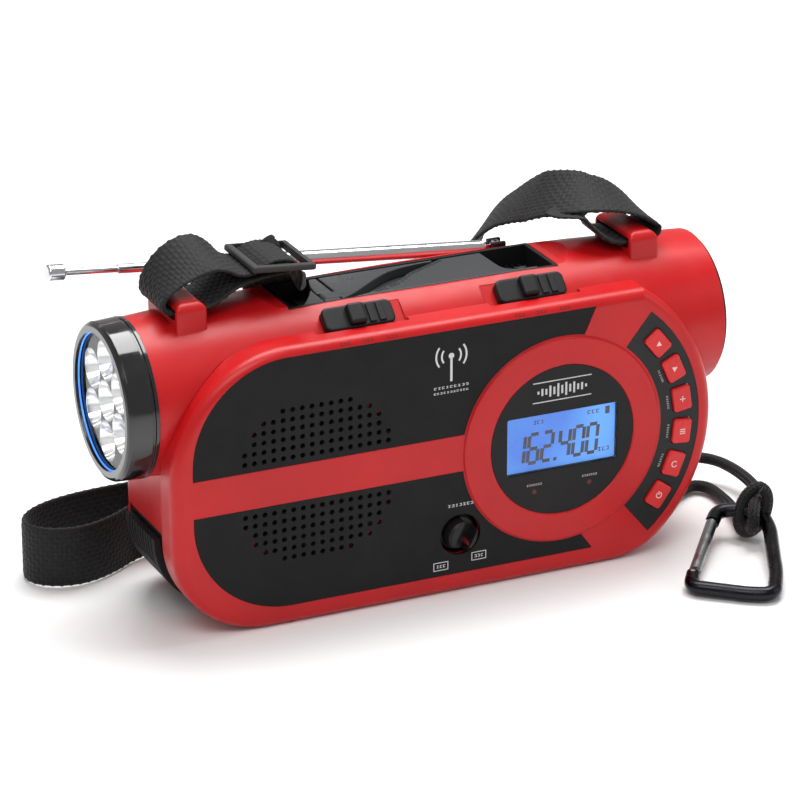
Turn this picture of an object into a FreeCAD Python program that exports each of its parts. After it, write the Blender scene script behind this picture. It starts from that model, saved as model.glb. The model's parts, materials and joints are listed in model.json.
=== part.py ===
import FreeCAD, Part
import math
import os
import re

from FreeCAD import Placement, Rotation, Vector

# Emergency radio: a lying barrel with a lamp in its left end stands on a flat casing with
# the loudspeaker, the display and the keys in front.
# Frame: +X to the right seen from the front, front face towards -Y, +Z up, z = 0 is the ground.

os.makedirs("parts", exist_ok=True)
doc = FreeCAD.newDocument("EmergencyRadio")

SIZES = {
    # casing
    "base_high": 0.0, "foot_round": 4.0, "foot_thick": 1.2, "slab_left": -103.0,
    "slab_top": 105.4, "slab_front": -36.0, "seam": -24.0, "slab_round": 62.0,
    "slab_foot_round": 30.0, "slab_low_round": 36.0, "slab_high_round": 46.0, "slab_lip": 4.0,
    "wall": 2.6, "rear_inset": 4.0, "rear_back": 26.0, "rear_round": 8.0, "rear_low_round": 30.0,
    "rear_top": 86.0, "plinth_left": -64.0, "plinth_right": 66.0, "plinth_back": 20.0,
    # barrel
    "axis_high": 82.0, "barrel_mid": 32.5, "barrel_end": 28.5, "barrel_left": -104.5,
    "barrel_right": 118.5, "saddle_left": -52.0, "saddle_right": 60.0, "saddle_high": 111.2,
    # display and keys
    "disc_x": 48.0, "disc_high": 53.1, "disc_round": 28.8, "ring_round": 39.5, "ring_proud": 0.8,
    "panel_deep": 1.6, "panel_thick": 1.5,
    "window_left": 25.7, "window_right": 70.2, "window_low": 42.0, "window_high": 64.1,
    "keys_inner": 40.4, "keys_outer": 56.2, "keys_low": -50.0, "keys_top": 51.0,
    "key_orbit": 49.3, "key_first": 39.0, "key_step": 15.0, "key_wide": 7.4, "key_tall": 9.6,
    "key_proud": 1.1, "key_travel": 0.8,
    # grilles
    "grille_left": -95.6, "grille_low": 7.7, "grille_high": 102.3, "band_low": 47.5,
    "band_high": 61.5, "grille_corner": 37.0, "grille_gap": 40.0, "tip_x": 61.0, "tip_inner": 56.4,
    "speaker_x": -48.5, "speaker_high": 54.5, "speaker_round": 31.5, "hole_round": 0.95,
    "hole_step_x": 3.67, "hole_step_z": 3.6,
    # selector knob
    "knob_x": 7.5, "knob_high": 22.8, "knob_round": 6.2, "knob_well": 7.9, "knob_long": 7.6,
    # slide switches on the shelf
    "slider_left_x": -26.6, "slider_right_x": 41.2, "slider_y": -21.0, "slider_high": 106.2,
    "slider_tilt": 42.0, "slider_long": 27.0, "slider_wide": 9.6, "slider_thick": 3.4,
    "tab_left": -4.6, "tab_wide": 6.4, "tab_proud": 2.8,
    # lamp
    "lamp_face": -116.0, "bezel_long": 11.5, "bezel_round": 28.6, "lens_round": 25.4,
    "lens_thick": 1.4, "lens_back": -112.5, "cup_pitch": 15.2, "cup_mouth": 7.5, "cup_foot": 2.9,
    "reflector_long": 12.5,
    # crank and its tray
    "tray_left": -49.0, "tray_right": 57.0, "tray_half": 13.2, "tray_floor": 101.5,
    "tray_skin": 1.4, "tray_ear": 0.2, "crank_pin_x": 48.0, "crank_pin_high": 105.6,
    "pin_round": 1.0, "arm_thick": 3.0, "lobe_top": 110.8,
    "grip_pin_x": -29.8, "grip_pin_high": 109.2, "grip_gap": 0.3,
    # gear train under the tray
    "drive_x": 38.0, "gear_module": 0.8, "gear_low": 92.2, "gear_thick": 3.0, "drive_teeth": 36,
    "idler_teeth": 18, "pinion_teeth": 12, "gear_stub": 6.0, "axle_round": 2.0,
    # strap brackets
    "bracket_left_x": -86.0, "bracket_right_x": 91.5, "bracket_wide": 11.5, "bracket_half": 14.2,
    "bracket_top": 118.8, "tunnel_half": 12.4, "tunnel_low": 112.4, "tunnel_high": 116.4,
    # antenna
    "mast_x": 51.0, "mast_y": 26.0, "mast_high": 106.2, "mast_rise": 5.4,
    "root_round": 2.8, "section_step": 0.5, "section_clear": 0.05,
    # soft parts
    "strap_wide": 23.0, "strap_thick": 1.4, "cord_round": 2.2,
    # carabiner
    "rod_round": 2.7,
}

sheet = doc.addObject("Spreadsheet::Sheet", "Sizes")
for row, (alias, number) in enumerate(SIZES.items(), start=1):
    sheet.set(f"A{row}", alias)
    sheet.set(f"B{row}", str(number))
    sheet.setAlias(f"B{row}", alias)
doc.recompute()


# ---------------------------------------------------------------- helpers

def formula(text):
    """Text with each size's name turned into its cell, ready for setExpression."""
    return re.sub(r"[a-z]\w*", lambda word: "Sizes." + word.group()
                  if word.group() in SIZES else word.group(), str(text))


def value(text):
    """The number that a formula of sizes stands for."""
    return float(sheet.evalExpression(formula(text)))


def bind(thing, **formulas):
    for name, text in formulas.items():
        thing.setExpression(name, formula(text))
    return thing


def put(thing, x=0, y=0, z=0, axis=(0, 0, 1), turn=0):
    """Place a thing at three formulas, turned about an axis."""
    thing.Placement = Placement(Vector(value(x), value(y), value(z)),
                                Rotation(Vector(*axis), value(turn)))
    for letter, text in zip("xyz", (x, y, z)):
        thing.setExpression(".Placement.Base." + letter, formula(text))
    return thing


ALONG = {"X": ((0, 1, 0), 90), "Y": ((1, 0, 0), -90), "Z": ((0, 0, 1), 0), "-X": ((0, 1, 0), -90),
         "-Y": ((1, 0, 0), 90), "-Z": ((1, 0, 0), 180)}


def block(name, low, sides):
    """A box from its low corner and its three sides."""
    box = doc.addObject("Part::Box", name)
    bind(box, Length=sides[0], Width=sides[1], Height=sides[2])
    return put(box, *low)


def rod(name, radius, length, start, along="Z"):
    cylinder = doc.addObject("Part::Cylinder", name)
    bind(cylinder, Radius=radius, Height=length)
    return put(cylinder, *start, *ALONG[along])


def cone(name, first, last, length, start, along="Z"):
    solid = doc.addObject("Part::Cone", name)
    bind(solid, Radius1=first, Radius2=last, Height=length)
    return put(solid, *start, *ALONG[along])


def fuse(name, *things):
    joined = doc.addObject("Part::MultiFuse", name)
    joined.Shapes = list(things)
    return joined


def cut(name, base, *tools):
    result = doc.addObject("Part::Cut", name)
    result.Base = base
    result.Tool = tools[0] if len(tools) == 1 else fuse(name + "_tools", *tools)
    return result


def common(name, *things):
    result = doc.addObject("Part::MultiCommon", name)
    result.Shapes = list(things)
    return result


def rounded(name, base, radius, chosen):
    """Round the base's edges that chosen(edge) accepts."""
    doc.recompute()
    numbers = [i for i, edge in enumerate(base.Shape.Edges, start=1) if chosen(edge)]
    result = doc.addObject("Part::Fillet", name)
    result.Base = base
    result.Edges = [(i, value(radius), value(radius)) for i in numbers]
    return result


def feature(name, shape, place=None):
    thing = doc.addObject("Part::Feature", name)
    thing.Shape = shape
    thing.Placement = place or Placement()
    return thing


def body(name):
    return doc.addObject("PartDesign::Body", name)


def sketch(owner, role, shift, edges):
    """A sketch on one of the body's own origin planes, moved by shift along its normal."""
    drawing = owner.newObject("Sketcher::SketchObject", owner.Name + "_sketch")
    plane = next(item for item in owner.Origin.OriginFeatures if item.Role == role)
    drawing.AttachmentSupport = [(plane, "")]
    drawing.MapMode = "FlatFace"
    drawing.setExpression(".AttachmentOffset.Base.z", formula(shift))
    drawing.addGeometry(edges, False)
    return drawing


def pad(owner, edges, front, thick):
    """Pad an XZ outline from y = front backwards by thick."""
    step = owner.newObject("PartDesign::Pad", owner.Name + "_pad")
    step.Profile = sketch(owner, "XZ_Plane", f"-({front})", edges)
    step.Reversed = True
    bind(step, Length=thick)
    return step


def pocket(owner, edges, start, deep, forwards=False):
    """Cut an XZ outline from y = start backwards, or forwards, by deep."""
    step = owner.newObject("PartDesign::Pocket", owner.Name + "_pocket")
    step.Profile = sketch(owner, "XZ_Plane", f"-({start})", edges)
    step.Reversed = forwards
    bind(step, Length=deep)
    return step


def soften(owner, step, radius, chosen):
    """Round the edges of one of the body's features that chosen(edge) accepts."""
    doc.recompute()
    numbers = [i for i, edge in enumerate(step.Shape.Edges, start=1) if chosen(edge)]
    fillet = owner.newObject("PartDesign::Fillet", step.Name + "_round")
    fillet.Base = (step, [f"Edge{i}" for i in numbers])
    return bind(fillet, Radius=radius)


def turned(name, profile, start, along="X"):
    """Revolve a closed profile of (distance along the axis, radius) points about an axis."""
    owner = body(name)
    points = [Vector(along_axis, radius, 0) for along_axis, radius in profile]
    edges = [Part.LineSegment(a, b) for a, b in zip(points, points[1:] + points[:1]) if a != b]
    step = owner.newObject("PartDesign::Revolution", name + "_turn")
    drawing = sketch(owner, "XY_Plane", 0, edges)
    step.Profile = drawing
    step.ReferenceAxis = (drawing, ["H_Axis"])
    step.Angle = 360
    axis, turn = {"X": ((0, 0, 1), 0), "-X": ((0, 0, 1), 180), "-Y": ((0, 0, 1), -90),
                  "Y": ((0, 0, 1), 90), "Z": ((0, 1, 0), -90)}[along]
    return put(owner, *start, axis, turn)


def point(x, z):
    return Vector(x, z, 0)


def line(first, last):
    return Part.LineSegment(point(*first), point(*last))


def arc(centre, radius, first, last):
    """A counter-clockwise arc, with its angles in degrees."""
    circle = Part.Circle(point(*centre), Vector(0, 0, 1), radius)
    return Part.ArcOfCircle(circle, math.radians(first), math.radians(last))


def ring(x, z, radius):
    return [Part.Circle(point(x, z), Vector(0, 0, 1), radius)]


def oblong(left, low, right, high, radius):
    """A rectangle with round corners."""
    if radius == 0:
        corners = [(left, low), (right, low), (right, high), (left, high)]
        return [line(a, b) for a, b in zip(corners, corners[1:] + corners[:1])]
    return [line((left + radius, low), (right - radius, low)),
            arc((right - radius, low + radius), radius, -90, 0),
            line((right, low + radius), (right, high - radius)),
            arc((right - radius, high - radius), radius, 0, 90),
            line((right - radius, high), (left + radius, high)),
            arc((left + radius, high - radius), radius, 90, 180),
            line((left, high - radius), (left, low + radius)),
            arc((left + radius, low + radius), radius, 180, 270)]


def polar(centre, radius, angle):
    turn = math.radians(angle)
    return (centre[0] + radius * math.cos(turn), centre[1] + radius * math.sin(turn))


def sector(centre, inner, outer, first, last):
    """A ring's sector between two angles."""
    return [arc(centre, outer, first, last), arc(centre, inner, first, last),
            line(polar(centre, inner, first), polar(centre, outer, first)),
            line(polar(centre, inner, last), polar(centre, outer, last))]


def straight_edges(near):
    """Chooser of the edges whose every vertex meets near(vertex's point)."""
    return lambda edge: all(near(corner.Point) for corner in edge.Vertexes)


# ---------------------------------------------------------------- outlines

DISC = (value("disc_x"), value("disc_high"))


def slab_outline(inset, low_round="slab_low_round"):
    """The casing's front outline: flat foot, one great arc about the display, round left end."""
    left, top = value("slab_left") + inset, value("slab_top") - inset
    base, great = value("base_high") + inset, value("slab_round") - inset
    low, high = value(low_round) - inset, value("slab_high_round") - inset
    foot = value("slab_foot_round") - inset
    foot_x = DISC[0] + math.sqrt((great - foot) ** 2 - (DISC[1] - base - foot) ** 2)
    meet = math.degrees(math.atan2(base + foot - DISC[1], foot_x - DISC[0]))
    shoulder = math.degrees(math.asin((top - DISC[1]) / great))
    return [line((left + low, base), (foot_x, base)),
            arc((foot_x, base + foot), foot, -90, meet),
            arc(DISC, great, meet, shoulder),
            line(polar(DISC, great, shoulder), (left + high, top)),
            arc((left + high, top - high), high, 90, 180),
            line((left, top - high), (left, base + low)),
            arc((left + low, base + low), low, 180, 270)]


def grille_outline(upper, inset=0.0):
    """The upper or lower grille panel: round outer corner, a bite round the display ring."""
    side = 1 if upper else -1
    band = value("band_high") + inset if upper else value("band_low") - inset
    far = value("grille_high") - inset if upper else value("grille_low") + inset
    left, corner = value("grille_left") + inset, value("grille_corner")
    gap = value("grille_gap") + inset
    band_turn = math.degrees(math.asin((band - DISC[1]) / gap))
    inner_x = value("tip_inner")
    tip_turn = math.degrees(math.acos((inner_x - DISC[0]) / gap))
    start, end = polar(DISC, gap, 180 - band_turn), polar(DISC, gap, side * tip_turn)
    bite = arc(DISC, gap, tip_turn, 180 - band_turn) if upper else \
        arc(DISC, gap, 180 - band_turn, 360 - tip_turn)
    round_end = arc((left + corner, far - side * corner), corner, *((90, 180) if upper else (180, 270)))
    return [line((left, band), start), bite, line(end, (value("tip_x"), far)),
            line((value("tip_x"), far), (left + corner, far)), round_end,
            line((left, far - side * corner), (left, band))]


def speaker_segment(upper):
    """The part of the loudspeaker's round opening that lies above or below the band."""
    centre = (value("speaker_x"), value("speaker_high"))
    radius = value("speaker_round")
    edge = value("band_high") + 2 if upper else value("band_low") - 2
    turn = math.degrees(math.asin((edge - centre[1]) / radius))
    first, last = (turn, 180 - turn) if upper else (180 - turn, 360 + turn)
    return [arc(centre, radius, first, last),
            line(polar(centre, radius, first), polar(centre, radius, last))]


def key_outline(angle, grow=0.0):
    """A key's round-cornered outline, turned to face the display's centre."""
    wide, tall = value("key_wide") / 2 + grow, value("key_tall") / 2 + grow
    orbit, middle = value("key_orbit"), math.radians(angle)
    along, across = (math.cos(middle), math.sin(middle)), (-math.sin(middle), math.cos(middle))

    def place(u, v):
        return (DISC[0] + (orbit + u) * along[0] + v * across[0],
                DISC[1] + (orbit + u) * along[1] + v * across[1])

    corner = 1.2 + grow
    edges = []
    for side_u, side_v, start in ((1, 1, 0), (-1, 1, 90), (-1, -1, 180), (1, -1, 270)):
        edges.append(arc(place(side_u * (wide - corner), side_v * (tall - corner)), corner,
                         angle + start, angle + start + 90))
    edges.append(line(place(wide, corner - tall), place(wide, tall - corner)))
    edges.append(line(place(-wide, corner - tall), place(-wide, tall - corner)))
    edges.append(line(place(corner - wide, tall), place(wide - corner, tall)))
    edges.append(line(place(corner - wide, -tall), place(wide - corner, -tall)))
    return edges


KEY_ANGLES = [value(f"key_first - key_step * {i}") for i in range(6)]
SPEAKER = (value("speaker_x"), value("speaker_high"))
KNOB = (value("knob_x"), value("knob_high"))


def barrel_radius(x):
    """The barrel swells gently from both ends to its middle."""
    left, right = value("barrel_left"), value("barrel_right")
    share = (2 * x - left - right) / (right - left)
    return value("barrel_mid") - (value("barrel_mid") - value("barrel_end")) * share ** 2


def barrel_profile(start, end, shrink, steps=10):
    """Closed profile of the barrel's swelling side between two stations."""
    stations = [start + (end - start) * i / steps for i in range(steps + 1)]
    return [(start, 0)] + [(x, barrel_radius(x) - shrink) for x in stations] + [(end, 0)]


# ---------------------------------------------------------------- casing

def make_front_shell():
    shell = body("front_slab")
    front = value("slab_front")
    slab = pad(shell, slab_outline(0), "slab_front", "seam - slab_front")
    soften(shell, slab, "slab_lip", lambda edge: edge.BoundBox.YMax < front + 0.01)
    raised = pad(shell, ring(*DISC, value("ring_round")) + ring(*DISC, value("disc_round")),
                 "slab_front - ring_proud", "ring_proud + 1")
    soften(shell, raised, "ring_proud * 0.8", lambda edge: edge.BoundBox.YMax < front - 0.01)
    pocket(shell, slab_outline(value("wall")), "seam", "seam - slab_front - wall", forwards=True)
    pocket(shell, ring(*DISC, value("disc_round")), "slab_front - 3", "wall + 6")
    for upper in (True, False):
        pocket(shell, grille_outline(upper), "slab_front", "panel_deep")
        pocket(shell, speaker_segment(upper), "slab_front", "wall + 1")
    pocket(shell, sector(DISC, value("keys_inner"), value("keys_outer"), value("keys_low"),
                         value("keys_top")), "slab_front", "panel_deep")
    pocket(shell, sector(DISC, value("keys_inner") + 1.5, value("keys_outer") - 1.5,
                         value("keys_low") + 3, value("keys_top") - 3), "slab_front", "wall + 1")
    pocket(shell, ring(*KNOB, value("knob_well")), "slab_front", "wall + 1")
    cut("front_shell", shell, *foot_pads("front_foot_room", FRONT_FEET), *slider_slots("front"))


def bracket(side):
    """A strap bridge across the barrel with its tunnel along X."""
    name = "bracket_" + side
    x = f"bracket_{side}_x - bracket_wide / 2"
    top = value("bracket_top") - 0.01
    bridge = block(name + "_block", (x, "-bracket_half", "axis_high + 18"),
                   ("bracket_wide", "2 * bracket_half", "bracket_top - axis_high - 18"))
    arched = rounded(name + "_arch", bridge, 3.5, straight_edges(
        lambda at: at.z > top and abs(at.y) > value("bracket_half") - 0.01))
    shaped = rounded(name, arched, 0.9, lambda edge: edge.BoundBox.XLength < 0.01)
    tunnel = block(name + "_tunnel", (x + " - 3", "-tunnel_half", "tunnel_low"),
                   ("bracket_wide + 6", "2 * tunnel_half", "tunnel_high - tunnel_low"))
    return shaped, tunnel


def slider_frame(side):
    """Placement of a slide switch: on the shelf, leaning forwards."""
    return Placement(Vector(value(f"slider_{side}_x"), value("slider_y"), value("slider_high")),
                     Rotation(Vector(1, 0, 0), value("slider_tilt")))


def local_block(name, place, low, sides):
    """A box set in a tilted frame."""
    low_point = Vector(*[value(text) for text in low])
    box = doc.addObject("Part::Box", name)
    bind(box, Length=sides[0], Width=sides[1], Height=sides[2])
    box.Placement = place.multiply(Placement(low_point, Rotation()))
    return box


def slider_slots(name):
    """The two flat seats on which the slide switches travel."""
    return [local_block(f"{name}_slot_{side}", slider_frame(side),
                        ("-slider_long / 2 - 4.5", "-slider_wide / 2 - 0.4", -0.3),
                        ("slider_long + 9", "slider_wide + 0.8", 8)) for side in ("left", "right")]


def saddle_cutter():
    """The flat top between two ramps that rise to the barrel's full height."""
    left, right, high = value("saddle_left"), value("saddle_right"), value("saddle_high")
    corners = [Vector(left, -20, high), Vector(right, -20, high), Vector(right + 16, -20, high + 6),
               Vector(left - 16, -20, high + 6)]
    return feature("saddle", Part.Face(Part.makePolygon(corners + corners[:1])).extrude(Vector(0, 40, 0)))


def make_rear_shell():
    left, right = value("barrel_left"), value("barrel_right")
    wall = value("wall")
    barrel = turned("barrel_skin", barrel_profile(left, right, 0), (0, 0, "axis_high"))
    room = turned("barrel_room", barrel_profile(left - 1, right + 1, wall), (0, 0, "axis_high"))

    back = value("rear_back")
    lower = body("lower_skin")
    box = pad(lower, slab_outline(value("rear_inset"), "rear_low_round"), "seam", "rear_back - seam")
    soften(lower, box, "rear_round", lambda edge: edge.BoundBox.YMin > back - 0.01)
    lower_room = body("lower_room")
    pad(lower_room, slab_outline(value("rear_inset") + wall, "rear_low_round"), "seam - 1",
        "rear_back - seam - wall + 1")
    under = block("lower_limit", (-130, -60, -1), (260, 120, "rear_top + 1"))
    lower_part = common("lower_part", lower, under)

    bridges, tunnels = zip(*[bracket(side) for side in ("left", "right")])
    mast_seat = rod("mast_seat", 6.5, 9.8, ("mast_x", "mast_y", "mast_high - 16"))
    eye_post = block("eye_post", (88, 0, 8), (12, 11, 9))
    eye = rounded("eye_block", eye_post, 3, lambda edge: edge.BoundBox.XMin > 99.9)
    plinth = block("plinth_block", ("plinth_left", "seam", 0),
                   ("plinth_right - plinth_left", "plinth_back - seam", 6))
    back_corners = straight_edges(lambda at: at.y > value("plinth_back") - 0.01)
    plinth_soft = rounded("plinth", plinth, 3,
                          lambda edge: back_corners(edge) and edge.BoundBox.ZLength > 5)
    skin = fuse("rear_skin", barrel, lower_part, *bridges, mast_seat, eye, plinth_soft)

    slab = body("slab_room")
    pad(slab, slab_outline(0), "slab_front - 8", "seam - slab_front + 8")
    plinth_room = block("plinth_room", ("plinth_left + wall", "seam - 1", "wall"),
                        ("plinth_right - plinth_left - 2 * wall", "plinth_back - seam - wall + 1", 4.1))
    tray = block("tray_room", ("tray_left", "-tray_half", "tray_floor"),
                 ("tray_right - tray_left", "2 * tray_half", 20))
    eye_hole = rod("eye_hole", 2.9, 30, (96, -6, 12.5), "Y")
    slits = [local_block(f"slider_slit_{side}", slider_frame(side), (-8, -1.6, -8), (16, 3.2, 9))
             for side in ("left", "right")]
    door = block("door_room", (-74, "rear_back - wall - 1", 9), (60, 10, 50))
    mast_bore = rod("mast_bore", 3.0, 14, ("mast_x", "mast_y", "mast_high - 17"))
    mast_room = rod("mast_room", 5.7, 12, ("mast_x", "mast_y", "mast_high - 6.2"))
    port = block("port_room", (-110, -14, 6), (45, 32, 27.5))
    screws = [rod(f"screw_room_{i}", 2.6, 6, (x, "rear_back - 2", z), "Y")
              for i, (x, z) in enumerate(SCREWS, start=1)]
    cut("rear_shell", skin, slab, room, lower_room, plinth_room, saddle_cutter(), tray, eye_hole,
        mast_room, *slider_slots("rear"), *slits, *tunnels, door, mast_bore, port, *screws,
        *foot_pads("rear_foot_room", REAR_FEET))


SCREWS = [(-84, 30), (-80, 62), (78, 20), (78, 66)]
FRONT_FEET = [(-58, -29.5), (62, -29.5)]
REAR_FEET = [(-58, 14), (62, 14)]


def foot_pads(name, places):
    """Short discs let into the underside, flush with it."""
    return [rod(f"{name}_{i}", "foot_round", "foot_thick", (x, y, 0))
            for i, (x, y) in enumerate(places, start=1)]


def make_feet():
    fuse("feet", *foot_pads("foot", FRONT_FEET + REAR_FEET))


def make_screws():
    heads = [rod(f"screw_head_{i}", 2.6, 1.8, (x, "rear_back - 2", z), "Y")
             for i, (x, z) in enumerate(SCREWS, start=1)]
    drives = [rod(f"screw_drive_{i}", 0.9, 2, (x, "rear_back - 1.4", z), "Y")
              for i, (x, z) in enumerate(SCREWS, start=1)]
    cut("case_screws", fuse("screw_heads", *heads), *drives)


HOLE_ROWS = [8, 8, 7, 7, 6, 4]     # half the holes in each row, counted away from the band


def make_grilles():
    for upper, name in ((True, "grille_upper"), (False, "grille_lower")):
        panel = body(name)
        pad(panel, grille_outline(upper), "slab_front + panel_deep - panel_thick", "panel_thick")
        holes = []
        edge = value("band_high") + 3.1 if upper else value("band_low") - 3.1
        for row, half in enumerate(HOLE_ROWS):
            z = edge + row * value("hole_step_z") * (1 if upper else -1)
            for column in range(-half, half):
                x = SPEAKER[0] + (column + 0.5) * value("hole_step_x")
                holes += ring(x, z, value("hole_round"))
        pocket(panel, holes, "slab_front", "panel_thick + 1")
        if not upper:
            pocket(panel, ring(*KNOB, value("knob_well")), "slab_front", "panel_thick + 1")


# ---------------------------------------------------------------- display, keys, selector

def make_display():
    window = (value("window_left"), value("window_low"), value("window_right"), value("window_high"))
    disc = body("display_panel")
    pad(disc, ring(*DISC, value("disc_round")), "slab_front - 0.4", 2.4)
    pocket(disc, oblong(*window, 0.8), "slab_front - 0.4", 3)
    glass = body("lcd_window")
    pad(glass, oblong(*window, 0.8), "slab_front", 1.2)
    panel = body("lcd_panel")
    pad(panel, oblong(window[0] - 2, window[1] - 2, window[2] + 2, window[3] + 2, 1),
        "slab_front + 2", 1.6)
    light = body("lcd_backlight")
    pad(light, oblong(window[0] - 2, window[1] - 2, window[2] + 2, window[3] + 2, 1),
        "slab_front + 3.6", 2.4)


def make_keys():
    panel = body("key_panel")
    pad(panel, sector(DISC, value("keys_inner"), value("keys_outer"), value("keys_low"),
                      value("keys_top")), "slab_front + panel_deep - panel_thick", "panel_thick")
    for angle in KEY_ANGLES:
        pocket(panel, key_outline(angle, 0.25), "slab_front", "panel_thick + 1")
    for i, angle in enumerate(KEY_ANGLES, start=1):
        key = body(f"key_{i}")
        cap = pad(key, key_outline(angle), "slab_front - key_proud", "key_proud + 3.2")
        soften(key, cap, 0.7, lambda edge: edge.BoundBox.YMax < value("slab_front - key_proud") + 0.01)
    mat = body("key_mat")
    pad(mat, sector(DISC, value("keys_inner") + 2, value("keys_outer") - 2, value("keys_low") + 4,
                    value("keys_top") - 4), "slab_front + 3.2 + key_travel + 0.3", 1.2)


def make_selector():
    x, z = KNOB
    long, radius = value("knob_long"), value("knob_round")
    knob = turned("knob_blank", [(0, 0), (0, radius + 0.6), (1.4, radius + 0.6), (1.6, radius),
                                 (long - 1, radius - 0.4), (long, radius - 1.2), (long, 0)],
                  ("knob_x", "slab_front + 4.4", "knob_high"), "-Y")
    sides = [block(f"knob_flat_{i}", (x + low, "slab_front - knob_long", z - 10),
                   (6, "knob_long + 2", 20)) for i, low in enumerate((1.9, -7.9), start=1)]
    tilt = Rotation(Vector(0, 1, 0), 28)
    for side in sides:
        side.Placement = Placement(Vector(x, 0, z), tilt).multiply(
            Placement(Vector(-x, 0, -z), Rotation())).multiply(side.Placement)
    stem = rod("knob_stem", 2.5, 8, ("knob_x", "slab_front + 4.3", "knob_high"), "Y")
    fuse("selector_knob", cut("knob_head", knob, *sides), stem)
    case = block("selector_case", (x - 6, "slab_front + 7", z - 6), (12, 5, 12))
    bore = rod("selector_bore", 2.55, 12, ("knob_x", "slab_front + 4", "knob_high"), "Y")
    cut("selector_switch", case, bore)


# ---------------------------------------------------------------- slide switches

def make_sliders():
    half = value("slider_long") / 2
    for side, name in (("left", "lamp_slider"), ("right", "siren_slider")):
        place = slider_frame(side)
        plate = local_block(name + "_plate", place, ("-slider_long / 2", "-slider_wide / 2", 0),
                            ("slider_long", "slider_wide", "slider_thick"))
        upright = place.Rotation.multVec(Vector(0, 0, 1))
        boat = rounded(name + "_boat", plate, 2.6, lambda edge: edge.Length < 4
                       and abs(edge.tangentAt(edge.FirstParameter).dot(upright)) > 0.9)
        soft = rounded(name + "_soft", boat, 0.9, lambda edge: place.inverse().multVec(
            edge.CenterOfMass).z > value("slider_thick") - 0.01)
        tab = local_block(name + "_tab", place, ("tab_left", "-slider_wide / 2 + 0.8", "slider_thick - 1"),
                          ("tab_wide", "slider_wide - 1.6", "tab_proud + 1"))
        crest = rounded(name + "_crest", tab, 1.1, lambda edge: place.inverse().multVec(
            edge.CenterOfMass).z > value("slider_thick"))
        steps = [local_block(f"{name}_step_{i}", place, (x, "-slider_wide / 2 + 1.2", "slider_thick - 0.6"),
                             (2.4, "slider_wide - 2.4", 1.3))
                 for i, x in enumerate((3.4, half - 6.4), start=1)]
        tongue = local_block(name + "_tongue", place, (-2.5, -1.3, -7), (5, 2.6, 7.5))
        fuse(name, soft, crest, *steps, tongue)
        case = local_block(name + "_switch", place, (-10, -4, -11.5), (20, 5.5, 4))
        case.Label = name.replace("slider", "switch")


# ---------------------------------------------------------------- lamp

def cup_centres():
    """One cup in the middle and six round it, in the YZ plane."""
    high, pitch = value("axis_high"), value("cup_pitch")
    return [(0, high)] + [polar((0, high), pitch, 30 + 60 * i) for i in range(6)]


def make_lamp():
    face, back = value("lamp_face"), value("lamp_face + bezel_long")
    outer, inner = value("bezel_round"), value("lens_round")
    seat = value("lens_back")
    turned("lamp_bezel", [(face, inner - 0.6), (face, outer - 1.6), (face + 0.5, outer - 0.6),
                          (face + 1.6, outer), (back - 2.4, outer + 0.4), (back - 2.2, outer - 0.2),
                          (back - 1.4, outer - 0.2), (back - 1.2, outer + 0.4), (back, outer + 0.4),
                          (back, inner + 0.6), (seat, inner + 0.6), (seat, inner),
                          (seat - 1.6, inner), (face + 1.6, inner - 0.6)], (0, 0, "axis_high"))
    rod("lamp_lens", "lens_round - 0.02", "lens_thick", ("lens_back - lens_thick", 0, "axis_high"), "X")
    drum = rod("reflector_drum", "lens_round + 0.2", "reflector_long", ("lens_back", 0, "axis_high"), "X")
    cups = [cone(f"cup_{i}", "cup_mouth", "cup_foot", "reflector_long + 0.02",
                 ("lens_back - 0.01", y, z), "X") for i, (y, z) in enumerate(cup_centres())]
    cut("lamp_reflector", drum, *cups)
    board = value("lens_back + reflector_long")
    rod("led_board", "lens_round - 1.4", 1.6, (board, 0, "axis_high"), "X")
    domes = []
    for i, (y, z) in enumerate(cup_centres()):
        domes.append(rod(f"led_stub_{i}", 2.5, 5, (board, y, z), "-X"))
        tip = doc.addObject("Part::Sphere", f"led_tip_{i}")
        tip.Radius = 2.5
        domes.append(put(tip, board - 5, y, z))
    fuse("led_cluster", *domes)


def make_end_cap():
    right = value("barrel_right")
    inner = barrel_radius(right) - value("wall") - 0.1
    cap = turned("cap_blank", [(right - 5, 0), (right - 5, inner), (right, inner),
                               (right, inner + 1.7), (right + 1.4, inner + 1.2), (right + 2.4, inner - 1),
                               (right + 2.4, 0)], (0, 0, "axis_high"))
    slots = [block(f"cap_slot_{i}", (right - 6, -half, value("axis_high") + z - 0.9), (12, 2 * half, 1.8))
             for i, (z, half) in enumerate(((-10, 7), (-5, 10), (0, 11), (5, 10), (10, 7)), start=1)]
    cut("siren_cap", cap, *slots)
    rod("siren_horn", 15, 9, (right - 15, 0, "axis_high"), "X")


# ---------------------------------------------------------------- crank, gears, generator

# Outlines in the XY plane, each run a straight line between two points or a curve through several.
ARM_CURVE = [(-26, -11.4), (-20, -10.2), (-14, -8.4), (-7.9, -6.2), (-2.5, -3.3), (5.3, 3.4),
             (11.5, 6.6), (16.5, 9.3), (20.6, 11.4)]
GRIP_CURVE = [(-26.2, -10.4), (-20.5, -7), (-14.6, -2.3), (-6.2, 4.1), (1.4, 8.2), (9, 9.9),
              (17.5, 10.5)]
DECK = [[(-34, -11.4), (50, -11.4)], [(50, -11.4), (50, -1.5)], [(50, -1.5), (45, -1.5)],
        [(45, -1.5), (39.8, 3.4), (36, 11.4)], [(36, 11.4), (-30.8, 11.4)],
        [(-30.8, 11.4), (-33, 5.5), (-34, -0.8)], [(-34, -0.8), (-34, -11.4)]]
ARM_LOBE = [ARM_CURVE, [(20.6, 11.4), (37.2, 11.4)], [(37.2, 11.4), (37.6, -3.5)],
            [(37.6, -3.5), (39.4, -7.8), (44.5, -9.6)], [(44.5, -9.6), (50, -9.9)],
            [(50, -9.9), (50, -11.4)], [(50, -11.4), (-26, -11.4)]]
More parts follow.
